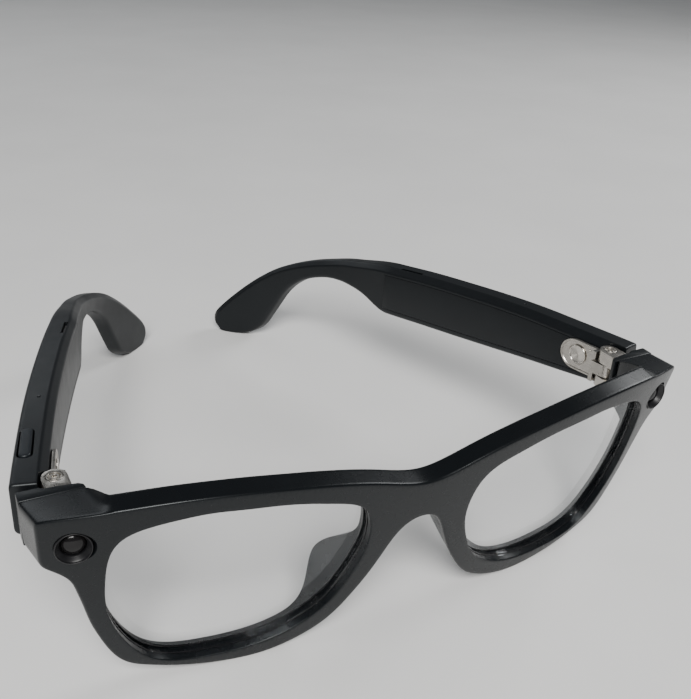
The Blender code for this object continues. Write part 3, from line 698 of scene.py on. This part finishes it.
def back_point(u, v):
    """Where a point of the outline plane lands on the rear surface of the front."""
    lean = math.radians(LEAN)
    share = endpiece_share(u, v)
    top = max(lookup(BROW, abs(u)), 12.0)
    low = LOWER[0][1]
    squeezed = END_BOTTOM + (v - low) * (END_TOP - END_BOTTOM) / (top - low)
    v2 = v + share * (squeezed - v)
    plane = PIVOT_IN_FRONT[1] + (END_BACK + (v2 - PIVOT_IN_FRONT[2]) * math.sin(lean)) / math.cos(lean)
    rise = pad_rise(u, v)
    w = (wrap(u) + FRONT_T) * (1 - share) + plane * share + rise
    shift = END_FLARE * share * smooth(63.0, 70.0, abs(u)) + PAD_SPLAY * rise
    return Vector((u + math.copysign(shift, u), w, v2))


def front_point(p, depth=0.0):
    return Vector((p.x, wrap(p.x) + depth, p.y))


def grid_points():
    spots = []
    for step, u_range, v_range in ((1.15, (-71, 71), (-22, 27)), (0.4, (57.8, 61.8), (7, 26)),
                                   (0.4, (-61.8, -57.8), (7, 26)), (0.6, (-27, 27), (-20, 9))):
        us = np.arange(u_range[0], u_range[1], step)
        vs = np.arange(v_range[0], v_range[1], step if step > 0.5 else 0.8)
        grid = np.array(np.meshgrid(us, vs)).reshape(2, -1).T
        spots.append((step, grid))
    return spots


def inside_mask(points, loop):
    xs = np.array([p.x for p in loop])
    ys = np.array([p.y for p in loop])
    x2 = np.roll(xs, -1)
    y2 = np.roll(ys, -1)
    hit = np.zeros(len(points), dtype=bool)
    for a, b, c, d in zip(xs, ys, x2, y2):
        if b == d:
            continue
        crosses = (b > points[:, 1]) != (d > points[:, 1])
        hit ^= crosses & (points[:, 0] < a + (points[:, 1] - b) * (c - a) / (d - b))
    return hit


def face_region(outer, holes):
    """Triangles over the front's outline, with extra points where the rear surface bends."""
    edge = np.array([(p.x, p.y) for loop in [outer] + holes for p in loop])
    inner = np.empty((0, 2))
    for step, grid in reversed(grid_points()):
        keep = inside_mask(grid, outer)
        for hole in holes:
            keep &= ~inside_mask(grid, hole)
        grid = grid[keep]
        for others, room in ((edge, 0.45), (inner, 0.7 * step)):
            if len(others) and len(grid):
                gaps = np.min(np.linalg.norm(grid[:, None, :] - others[None, :, :], axis=2), axis=1)
                grid = grid[gaps > room]
        inner = np.vstack([inner, grid])
    points = [p.copy() for loop in [outer] + holes for p in loop] + [Vector(p) for p in inner.tolist()]
    edges = []
    start = 0
    for loop in [outer] + holes:
        n = len(loop)
        edges += [(start + k, start + (k + 1) % n) for k in range(n)]
        start += n
    found = delaunay_2d_cdt(points, edges, [], 1, 1e-6)
    tris = np.array([tuple(t) for t in found[2]])
    flat = np.array([tuple(p) for p in found[0]])
    centres = flat[tris].mean(axis=1)
    keep = np.ones(len(tris), dtype=bool)
    for hole in holes:
        keep &= ~inside_mask(centres, hole)
    return found[0], [tuple(int(k) for k in t) for t in tris[keep]]


def rear_round(p):
    """Rear edge radius: soft on the rims, nearly sharp where the endpiece cover meets it."""
    return REAR_ROUND + (0.12 - REAR_ROUND) * endpiece_share(p.x, p.y)


def outer_rings(outer):
    normals = outward(outer)
    rings = []
    for inset, depth in quarter(4):
        ring = []
        for p, n in zip(outer, normals):
            way = (back_point(p.x, p.y) - front_point(p)).normalized()
            q = p - n * (inset * FACE_ROUND)
            ring.append(front_point(q) + way * (depth * FACE_ROUND))
        rings.append(ring)
    for k in range(1, 16):
        ring = []
        for p in outer:
            a, b = front_point(p), back_point(p.x, p.y)
            room = (b - a).length
            ring.append(a.lerp(b, (FACE_ROUND + (room - FACE_ROUND - rear_round(p)) * k / 16) / room))
        rings.append(ring)
    for inset, depth in reversed(quarter(5)):
        ring = []
        for p, n in zip(outer, normals):
            way = (back_point(p.x, p.y) - front_point(p)).normalized()
            q = p - n * (inset * rear_round(p))
            ring.append(back_point(q.x, q.y) - way * (depth * rear_round(p)))
        rings.append(ring)
    return rings


def opening_rings(hole):
    normals = outward(hole)
    rings = []
    for inset, depth in quarter(3):
        lip = [p + n * (inset * LIP_ROUND) for p, n in zip(hole, normals)]
        rings.append([front_point(p, depth * LIP_ROUND) for p in lip])
    deep = [p + n * GROOVE_DEEP for p, n in zip(hole, normals)]
    groove = ((hole, GROOVE_FROM - GROOVE_EASE), (deep, GROOVE_FROM),
              (deep, GROOVE_TO), (hole, GROOVE_TO + GROOVE_EASE))
    for loop, depth in groove:
        rings.append([front_point(p, depth) for p in loop])
    for k in range(1, 7):
        ring = []
        for p in hole:
            a, b = front_point(p, GROOVE_TO + GROOVE_EASE), back_point(p.x, p.y)
            room = (b - a).length
            ring.append(a.lerp(b, (room - LIP_ROUND) * k / 6 / room))
        rings.append(ring)
    for inset, depth in list(reversed(quarter(3)))[1:]:
        ring = []
        for p, n in zip(hole, normals):
            q = p + n * (inset * LIP_ROUND)
            ring.append(back_point(q.x, q.y) - Vector((0, depth * LIP_ROUND, 0)))
        rings.append(ring)
    return rings


def front_frame(axes):
    outer = outline_loop()
    holes = [opening_loop(1), opening_loop(-1)]
    verts = []
    faces = []
    front_edge = [p - n * FACE_ROUND for p, n in zip(outer, outward(outer))]
    rear_edge = [p - n * rear_round(p) for p, n in zip(outer, outward(outer))]
    eased = [[p + n * LIP_ROUND for p, n in zip(hole, outward(hole))] for hole in holes]
    for edge, rear in ((front_edge, False), (rear_edge, True)):
        flat, tris = face_region(edge, eased)
        start = len(verts)
        verts.extend(back_point(p.x, p.y) if rear else front_point(p) for p in flat)
        faces.extend(tuple(start + k for k in tri) for tri in tris)
    for rings in [outer_rings(outer)] + [opening_rings(hole) for hole in holes]:
        start = len(verts)
        for ring in rings:
            verts.extend(ring)
        faces.extend(ring_faces(len(rings[0]), len(rings), start))
    frame = make_mesh("front_frame_shell", verts, faces, axes["front"])
    for side in (1, -1):
        name = side_name(side)
        l, s, h = POCKET
        xs = sorted((side * l[0], side * l[1]))
        combine(frame, box("pocket_form_" + name, xs, s, h, axes["end_" + name]))
        sink = [(WELL_R + 0.6, -3.0), (WELL_R + 0.6, -0.9), (WELL_R + 0.22, -0.2), (WELL_R + 0.07, 0.1),
                (WELL_R, 0.4), (WELL_R, 4.5)]
        combine(frame, turned("well_form_" + name, sink, 96, "y", (0, 0, 0), axes["well_" + name]))
        pin = [(1.15, 2.9), (1.15, 4.6), (1.4, 4.9), (1.4, 6.0)]
        centre = (side * CONTACT_U, 0, CONTACT_V)
        combine(frame, turned("contact_form_" + name, pin, 48, "y", centre, axes["front"]))
    combine(frame, brow_bar("flex_channel_form", *CHANNEL, axes["front"]))
    return settle(frame, 34)


def brow_bar(name, u_end, dv, w0, w1, matrix):
    rings = []
    for k in range(161):
        u = -u_end + 2 * u_end * k / 160
        v = brow_line(u) - BROW_DROP
        near, far = wrap(u) + w0, wrap(u) + w1
        rings.append([(u, near, v - dv), (u, far, v - dv), (u, far, v + dv), (u, near, v + dv)])
    return loft(name, rings, matrix)


def lens(side, axes):
    loop = opening_loop(side)
    edge = [p + n * LENS_IN_GROOVE for p, n in zip(loop, outward(loop))]
    centre = sum(edge, Vector((0, 0))) / len(edge)
    mid = (GROOVE_FROM + GROOVE_TO) / 2
    n = len(edge)
    verts = []
    faces = []
    shares = [1 - k / 18 for k in range(18)]
    for face_w in (mid - LENS_T / 2, mid + LENS_T / 2):
        start = len(verts)
        for share in shares:
            verts += [front_point(centre.lerp(p, share), face_w) for p in edge]
        verts.append(front_point(centre, face_w))
        faces += ring_faces(n, len(shares), start)
        last = start + (len(shares) - 1) * n
        faces += [(last + i, last + (i + 1) % n, start + len(shares) * n) for i in range(n)]
    half = len(shares) * n + 1
    faces += [(i, (i + 1) % n, half + (i + 1) % n, half + i) for i in range(n)]
    return make_mesh("lens_pane_" + side_name(side), verts, faces, axes["front"])


def lens_painted_shade_line(side, axes):
    """Thin polished dark tubes where the lens meets the rim, front and rear: painted shade lines standing in
    for the shadow at the lens edge.
    """
    loop = opening_loop(side)
    normals = outward(loop)
    mid = (GROOVE_FROM + GROOVE_TO) / 2
    verts = []
    faces = []
    for w in (mid - LENS_T / 2 - 0.06, mid + LENS_T / 2 + 0.06):
        start = len(verts)
        for k in range(10):
            a = 2 * math.pi * k / 10
            verts += [front_point(p - n * (PAINTED_SHADE_LINE_R * math.cos(a)), w + PAINTED_SHADE_LINE_R * math.sin(a))
                      for p, n in zip(loop, normals)]
        faces += [tuple(start + i for i in face) for face in wrap_rings(len(loop), 10)]
    return make_mesh("lens_painted_shade_line_" + side_name(side), verts, faces, axes["front"])


def build_front(axes, looks):
    frame = front_frame(axes)
    even_shading(frame)
    place(frame, "front", ["front_frame"], "front_plastic", looks["front"])
    strip = brow_bar("brow_strip", *STRIP, axes["front"])
    soften(strip, 0.12)
    place(settle(strip), "front", ["brow_rear_strip"], "inner_plastic", looks["strip"])
    for side in (1, -1):
        name = side_name(side)
        place(lens(side, axes), "front", ["lens_" + name], "lens_clear", looks["lens"])
        # Dark tubes painting the shade line where each lens meets the rim
        place(lens_painted_shade_line(side, axes), "front", [], "ring_black", looks["painted_shade_line"])
        pin = [(0.7, 3.2), (0.85, 3.35), (0.85, 4.3), (0.8, 4.42), (0.66, 4.5), (0.3, 4.54), (0.05, 4.55)]
        spot = axes["front"] @ Matrix.Translation(Vector((side * CONTACT_U, 0, CONTACT_V)) * MM)
        contact = turned("contact_pin_" + name, pin, 64, "y", (0, 0, 0), spot)
        place(contact, "front", ["charging_contact_" + name], "contact_gold", looks["gold"], own_axes=True)
        cover = endpiece_cover(side, axes)
        place(cover, "front", ["endpiece_cover_" + name], "front_plastic", looks["cover"])


def endpiece_cover(side, axes):
    name = side_name(side)
    rings = [[(side * l, s, h) for l, s in COVER_PLAN] for h in COVER_H]
    cover = loft("endpiece_boss_" + name, rings, axes["end_" + name])
    soften(cover, 0.22, 30, 3)
    matrix = axes["end_" + name]
    combine(cover, box("leaf_seat_form_" + name, (-2.6, 2.6), (-5.3, -3.9), (-9.9, -0.6), matrix))
    combine(cover, box("leaf_mouth_form_" + name, (-2.6, 2.6), (-3.95, -2.0), (-9.9, 1.6), matrix))
    return settle(cover)


def arc_profile(points, radius, steps=4):
    """Open line of (radius, height) with its inner corners rounded."""
    pts = [Vector(p) for p in points]
    out = [pts[0]]
    for a, b, c in zip(pts, pts[1:], pts[2:]):
        out += soft_corner(a, b, c, radius, 0.45, steps)
    out.append(pts[-1])
    return [tuple(p) for p in out]


def optics(kind, side, axes, looks, window_look):
    """Bezel ring and front window in one endpiece well."""
    matrix = axes["well_" + side_name(side)]
    rim = arc_profile([(2.25, 2.2), (2.25, 0.95), (2.72, 0.3), (2.9, 0.1), (2.94, -0.12),
                       (3.1, -0.16), (3.2, -0.02), (3.2, 2.2)], 0.07, 3)
    ring = turned(kind + "_bezel", rim, 96, "y", (0, 0, 0), matrix, closed=True)
    place(ring, "front", [kind + "_ring"], "ring_black", looks["ring"])
    dome = [(2.2 * math.sin(k * 0.105), 0.42 + 1.2 * (1 - math.cos(k * 0.105))) for k in range(15)]
    dome = [(0.02, 0.42)] + dome[1:] + [(2.23, 1.65), (2.23, 1.8), (1.2, 1.8)]
    window = turned(kind + "_dome", dome, 96, "y", (0, 0, 0), matrix)
    place(window, "front", [kind + "_window"], "window_black", looks[window_look])


# ---------------------------------------------------------------- hinge
def knuckle_plate(name, heights, reach, matrix):
    ring = []
    sign = -1 if reach < 0 else 1
    for k in range(49):
        a = math.pi * k / 48
        ring.append((KNUCKLE_R * math.cos(a), -sign * KNUCKLE_R * math.sin(a)))
    ring += [(-KNUCKLE_R, reach), (KNUCKLE_R, reach)]
    return loft(name, [[(x, y, h) for x, y in ring] for h in heights], matrix)


def front_leaf(side, axes, looks):
    name = side_name(side)
    matrix = axes["end_" + name]
    leaf = box("hinge_leaf_" + name, (-KNUCKLE_R, KNUCKLE_R), (-5.0, -3.5), (-9.4, -0.75), matrix)
    for tag, heights in (("top", TOP_KNUCKLE), ("low", LOW_KNUCKLE)):
        combine(leaf, knuckle_plate("%s_knuckle_form_%s" % (tag, name), heights, -3.85, matrix), "UNION")
    bore = [(SCREW_R + SCREW_GAP, -12), (SCREW_R + SCREW_GAP, -0.9),
            (SCREW_HEAD_R + 0.12, -0.9), (SCREW_HEAD_R + 0.12, 2)]
    combine(leaf, turned("screw_hole_form_" + name, bore, 72, "z", (0, 0, 0), matrix))
    soften(leaf, 0.14)
    place(settle(leaf), "front", ["hinge_front_leaf_" + name], "hinge_metal", looks["nickel"])
    shape = arc_profile([(0.6, -9.35), (SCREW_R, -9.1), (SCREW_R, -0.7), (SCREW_HEAD_R, -0.7),
                         (SCREW_HEAD_R, -0.1), (1.38, -0.02), (1.16, -0.02), (1.12, -0.3), (0.92, -0.3),
                         (0.88, -0.04), (0.5, -0.04), (0.46, -0.6), (0.05, -0.62)], 0.04, 3)
    screw = turned("hinge_screw_turned_" + name, shape, 72, "z", (0, 0, 0), matrix)
    place(screw, "front", ["hinge_screw_" + name], "screw_metal", looks["screw"])


def plate_outline():
    outline = [(2.5, -1.3), (2.5, -9.2), (8.6, -9.3)]
    for k in range(1, 30):
        a = -math.pi / 2 + math.pi * k / 30
        outline.append((9.4 + 4.2 * math.cos(a), -5.3 + 4.0 * math.sin(a)))
    outline.append((8.6, -1.3))
    dense = []
    for a, b in zip(outline, outline[1:] + outline[:1]):
        a, b = Vector(a), Vector(b)
        count = max(1, round((b - a).length / 0.35))
        dense += [a.lerp(b, k / count) for k in range(count)]
    return relax(dense, 2)


def temple_leaf(side, axes, looks):
    name = side_name(side)
    body = name + "_temple"
    matrix = axes["temple_" + name]
    outline = plate_outline()
    normals = outward(outline)
    steps = [(0.0, PLATE_L[1]), (0.0, 0.29), (0.04, 0.2), (0.12, PLATE_L[0]), (0.42, PLATE_L[0]),
             (0.5, 0.18), (0.62, 0.34)]
    rings = []
    for inset, l in steps:
        rings.append([(side * l, p.x - n.x * inset, p.y - n.y * inset) for p, n in zip(outline, normals)])
    leaf = loft("hinge_plate_" + name, rings, matrix)
    xs = sorted((side * -1.7, side * PLATE_L[1]))
    combine(leaf, box("leaf_web_form_" + name, xs, (2.48, 3.5), (-9.2, -1.3), matrix), "UNION")
    combine(leaf, knuckle_plate("mid_knuckle_form_" + name, MID_KNUCKLE, 3.1, matrix), "UNION")
    bore = [(SCREW_R + SCREW_GAP, -12), (SCREW_R + SCREW_GAP, 2)]
    combine(leaf, turned("mid_hole_form_" + name, bore, 64, "z", (0, 0, 0), matrix))
    seat = [(2.65, side * -1.0), (2.65, side * 0.6)]
    combine(leaf, turned("disc_seat_form_" + name, seat, 96, "x", (0, *DISC_AT), matrix))
    dot = [(0.32, side * -1.0), (0.32, side * 0.55)]
    combine(leaf, turned("dot_form_" + name, dot, 32, "x", (0, 5.3, -2.5), matrix))
    place(settle(leaf), body, ["hinge_temple_plate_" + name], "hinge_metal", looks["plate"])
    dish = arc_profile([(0.02, 0.5), (0.2, 0.44), (1.1, 0.25), (2.0, 0.07), (2.08, -0.03), (2.34, -0.05),
                        (2.42, 0.06), (2.42, 0.75), (1.0, 0.75)], 0.05, 3)
    spot = matrix @ Matrix.Translation(Vector((0, *DISC_AT)) * MM)
    disc = turned("hinge_disc_turned_" + name, [(r, side * l) for r, l in dish], 96, "x", (0, 0, 0), spot)
    place(disc, body, ["hinge_disc_" + name], "hinge_metal", looks["disc"], own_axes=True)


# ---------------------------------------------------------------- temples
def bow(s):
    return -BOW_2 * (s / 100) ** 2 - BOW_TIP * max(0.0, (s - 90) / 50) ** 2 if s > 0 else 0.0


def fillet(spots, radii, steps=5):
    """Closed polygon with each corner turned into a soft arc."""
    pts = [Vector(p) for p in spots]
    n = len(pts)
    out = []
    for i in range(n):
        out += soft_corner(pts[i - 1], pts[i], pts[(i + 1) % n], radii[i], 0.48, steps)
    return out


def temple_section(top, bottom, shrink=0.0):
    """Closed section of the temple at one station, from the outer face round over the top."""
    st, ht = top
    sb, hb = bottom
    tall = math.hypot(st - sb, ht - hb)
    thick = lookup(THICKNESS, (st + sb) / 2)
    inner = OUTER - thick
    cut = min(TOP_CUT, 0.3 * tall)
    corners = [(OUTER, tall), (OUTER, 0.0), (inner + cut, 0.0), (inner, cut), (inner, tall)]
    ring = []
    mid = ((OUTER + inner) / 2, tall / 2)
    for p in fillet(corners, SECTION_RADII):
        l = mid[0] + math.copysign(max(0.0, abs(p.x - mid[0]) - shrink), p.x - mid[0])
        down = mid[1] + math.copysign(max(0.0, abs(p.y - mid[1]) - shrink), p.y - mid[1])
        t = down / tall
        s = st + (sb - st) * t
        ring.append((l + bow(s), s, ht + (hb - ht) * t))
    return ring


def dense_profile():
    tops = [Vector(p[0]) for p in PROFILE]
    lows = [Vector(p[1]) for p in PROFILE]
    pairs = []
    n = len(PROFILE)
    for i in range(n - 1):
        span = max((tops[i + 1] - tops[i]).length, (lows[i + 1] - lows[i]).length)
        count = max(2, round(span / STATION_STEP))
        quad = [max(i - 1, 0), i, i + 1, min(i + 2, n - 1)]
        for k in range(count):
            t = k / count
            top = catmull(*[tops[q] for q in quad], t)
            low = catmull(*[lows[q] for q in quad], t)
            pairs.append((tuple(top), tuple(low)))
    pairs.append((tuple(tops[-1]), tuple(lows[-1])))
    return pairs


def shifted(pair, along):
    (st, ht), (sb, hb) = pair
    return (st + along, ht), (sb + along, hb)


def temple_rings(side):
    pairs = dense_profile()
    rings = []
    for inset, depth in quarter(4)[:-1]:
        rings.append(temple_section(*shifted(pairs[0], depth * 0.45), shrink=inset * 0.45))
    first = [p for p in pairs if p[0][0] > PROFILE[0][0][0] + 0.5]
    rings += [temple_section(*pair) for pair in [shifted(pairs[0], 0.45)] + first]
    tip = pairs[-1]
    for inset, depth in list(reversed(quarter(4)))[1:]:
        (st, ht), (sb, hb) = tip
        push = (1 - depth) * 0.35
        rings.append(temple_section((st + push * 0.3, ht - push), (sb + push * 0.3, hb - push * 0.1),
                                    shrink=inset * 0.5))
    return [[(side * l, s, h) for l, s, h in ring] for ring in rings]


def heights_at(s):
    tops = [p[0] for p in PROFILE[:STRAIGHT_STATIONS]]
    lows = [p[1] for p in PROFILE[:STRAIGHT_STATIONS]]
    return lookup(tops, s), lookup(lows, s)


def bowed_bar(name, side, s_range, l_range, top_of, low_of, matrix, step=1.5):
    count = max(1, round((s_range[1] - s_range[0]) / step))
    rings = []
    for k in range(count + 1):
        s = s_range[0] + (s_range[1] - s_range[0]) * k / count
        l0, l1 = l_range[0] + bow(s), l_range[1] + bow(s)
        top, low = top_of(s), low_of(s)
        rings.append([(side * l0, s, low), (side * l1, s, low), (side * l1, s, top), (side * l0, s, top)])
    return loft(name, rings, matrix)


def below_top(gap):
    return lambda s: heights_at(s)[0] - gap


def above_low(gap):
    return lambda s: heights_at(s)[1] + gap


def pill(name, centre, length, width, heights, matrix, side):
    ring = []
    half = (length - width) / 2
    for k in range(72):
        a = 2 * math.pi * (k + 0.5) / 72
        shift = half if math.sin(a) > 0 else -half
        ring.append((width / 2 * math.cos(a), shift + width / 2 * math.sin(a)))
    rings = []
    for h, inset in heights:
        across, along = 1 - inset / width * 2, 1 - inset / length * 2
        rings.append([(side * centre[0] + x * across, centre[1] + y * along, h) for x, y in ring])
    return loft(name, rings, matrix)


def clear_hinge(obj, kind, side, s_end, heights, matrix):
    """Cuts the room that the knuckles and the front leaf need at the end of a temple piece."""
    name = side_name(side)
    relief = [(RELIEF_R, h) for h in heights]
    combine(obj, turned("%s_relief_form_%s" % (kind, name), relief, 96, "z", (0, 0, 0), matrix))
    xs = sorted((side * -1.0, side * RELIEF_R))
    combine(obj, box("%s_arm_form_%s" % (kind, name), xs, (-5.0, s_end), heights, matrix))


def temple_shell(side, axes):
    name = side_name(side)
    matrix = axes["temple_" + name]
    shell = loft("temple_body_" + name, temple_rings(side), matrix)
    combine(shell, bowed_bar("hollow_form_" + name, side, HOLLOW_S, (INNER - 2.0, OUTER - WALL),
                             below_top(ROOF), above_low(FLOOR), matrix))
    clear_hinge(shell, "shell", side, 0.4, (-12.0, 3.0), matrix)
    combine(shell, bowed_bar("vent_slot_form_" + name, side, VENT_S, VENT_L, lambda s: 1.0,
                             below_top(ROOF + 0.9), matrix))
    top = heights_at(MIC_S)[0]
    spot = (side * (MIC_L + bow(MIC_S)), MIC_S, 0)
    hole = [(0.32, top - 2.4), (0.32, top - 0.12), (0.5, top + 0.06), (0.5, top + 1.0)]
    combine(shell, turned("mic_hole_form_" + name, hole, 40, "z", spot, matrix))
    if side < 0:
        top = heights_at(BUTTON_S)[0]
        heights = [(top - ROOF - 1.4, 0.0), (top - 0.16, 0.0), (top + 0.1, -0.18), (top + 2, -0.18)]
        centre = (BUTTON_L + bow(BUTTON_S), BUTTON_S)
        combine(shell, pill("button_hole_form", centre, BUTTON_LEN + 2 * GAP, BUTTON_W + 2 * GAP,
                            heights, matrix, side))
    return settle(shell)


def inner_cover(side, axes):
    name = side_name(side)
    matrix = axes["temple_" + name]
    s_range = (HOLLOW_S[0] + SEAM, HOLLOW_S[1] - SEAM)
    cover = bowed_bar("temple_lid_" + name, side, s_range, (INNER, INNER + COVER_T),
                      below_top(ROOF + SEAM), above_low(FLOOR + SEAM), matrix, step=2.0)
    soften(cover, 0.12)
    clear_hinge(cover, "cover", side, 3.5, (-14.0, 3.0), matrix)
    return settle(cover)


def capture_button(axes, looks):
    top = heights_at(BUTTON_S)[0]
    crown = [(top - 2.9, 0.0), (top + BUTTON_PROUD - 0.32, 0.0), (top + BUTTON_PROUD - 0.2, 0.03),
             (top + BUTTON_PROUD - 0.1, 0.09), (top + BUTTON_PROUD - 0.03, 0.19), (top + BUTTON_PROUD, 0.34),
             (top + BUTTON_PROUD + 0.02, 0.75)]
    button = pill("capture_button_cap", (BUTTON_L + bow(BUTTON_S), BUTTON_S), BUTTON_LEN, BUTTON_W, crown,
                  axes["temple_right"], -1)
    place(button, "button", ["capture_button"], "button_plastic", looks["button"])


def build_temple(side, axes, looks):
    name = side_name(side)
    body = name + "_temple"
    shell = temple_shell(side, axes)
    even_shading(shell)
    place(shell, body, ["temple_shell_" + name], "temple_plastic", looks["temple"])
    place(inner_cover(side, axes), body, ["temple_inner_cover_" + name], "inner_plastic", looks["inner"])
    mesh = bowed_bar("vent_cloth_" + name, side, CLOTH_S, CLOTH_L, below_top(0.9), below_top(1.5),
                     axes["temple_" + name])
    place(mesh, body, ["vent_mesh_" + name], "mesh_black", looks["mesh"])
    temple_leaf(side, axes, looks)


# ---------------------------------------------------------------- carried-over nodes, stage, camera
def dress_inner_nodes(frame, looks):
    table = {"speaker": "speaker", "battery": "battery", "temple_board": "board", "camera_board": "board",
             "capture_light_board": "board", "microphone": "mic", "touch_sensor_flex": "flex",
             "front_flex_cable": "flex", "button_switch": "switch", "camera_module": "module",
             "capture_light_guide": "guide"}
    for name, node in frame["nodes"].items():
        for start, look in table.items():
            if name.startswith(start):
                node.data.materials.clear()
                node.data.materials.append(looks[look])


def floor_material():
    mat, nt, shader = new_material("floor_look")
    stops = [(0.3, (0.70, 0.70, 0.695)), (0.7, (0.74, 0.74, 0.735))]
    nt.links.new(ramp(nt, noise(nt, 14.0, 3.0), stops), shader.inputs["Base Color"])
    shader.inputs["Roughness"].default_value = 0.7
    return mat


def build_stage():
    mesh = bpy.data.meshes.new("floor")
    corners = [(-FLOOR_R, -FLOOR_R, 0), (FLOOR_R, -FLOOR_R, 0), (FLOOR_R, FLOOR_R, 0), (-FLOOR_R, FLOOR_R, 0)]
    mesh.from_pydata(corners, [], [(0, 1, 2, 3)])
    floor = bpy.data.objects.new("floor", mesh)
    bpy.context.scene.collection.objects.link(floor)
    mesh.materials.append(floor_material())


def area_light(name, place_m, target, size, power, colour):
    data = bpy.data.lights.new(name, "AREA")
    data.shape = "RECTANGLE"
    data.size, data.size_y = size
    data.energy = power
    data.color = colour
    lamp = bpy.data.objects.new(name, data)
    bpy.context.scene.collection.objects.link(lamp)
    lamp.location = place_m
    lamp.rotation_euler = (Vector(target) - Vector(place_m)).to_track_quat("-Z", "Y").to_euler()


def build_lights():
    world = bpy.data.worlds.new("studio")
    world.use_nodes = True
    background = world.node_tree.nodes["Background"]
    background.inputs["Color"].default_value = WORLD_COLOUR
    background.inputs["Strength"].default_value = WORLD_STRENGTH
    bpy.context.scene.world = world
    for light in LIGHTS:
        area_light(*light)


def build_camera(axes):
    az, el, roll = (math.radians(a) for a in (EYE_AZ, EYE_EL, EYE_ROLL))
    back = Vector((math.sin(az) * math.cos(el), -math.cos(az) * math.cos(el), math.sin(el)))
    right = (-back).cross(Vector((0, 0, 1))).normalized()
    up = right.cross(-back)
    right, up = right * math.cos(roll) + up * math.sin(roll), up * math.cos(roll) - right * math.sin(roll)
    turn = Matrix((right, up, back)).transposed().to_4x4()
    data = bpy.data.cameras.new("reference_camera")
    data.lens = EYE_LENS
    data.sensor_width = 36.0
    data.shift_x = EYE_SHIFT
    data.clip_start = 0.01
    camera = bpy.data.objects.new("reference_camera", data)
    bpy.context.scene.collection.objects.link(camera)
    camera.matrix_world = axes["front"] @ Matrix.Translation(Vector(EYE) * MM) @ turn
    bpy.context.scene.camera = camera


axes = read_axes(frame)
looks = make_materials()
build_front(axes, looks)
optics("camera", 1, axes, looks, "window")
optics("capture_light", -1, axes, looks, "light_window")
for side in (1, -1):
    front_leaf(side, axes, looks)
    build_temple(side, axes, looks)
capture_button(axes, looks)
dress_inner_nodes(frame, looks)
build_stage()
build_lights()
build_camera(axes)
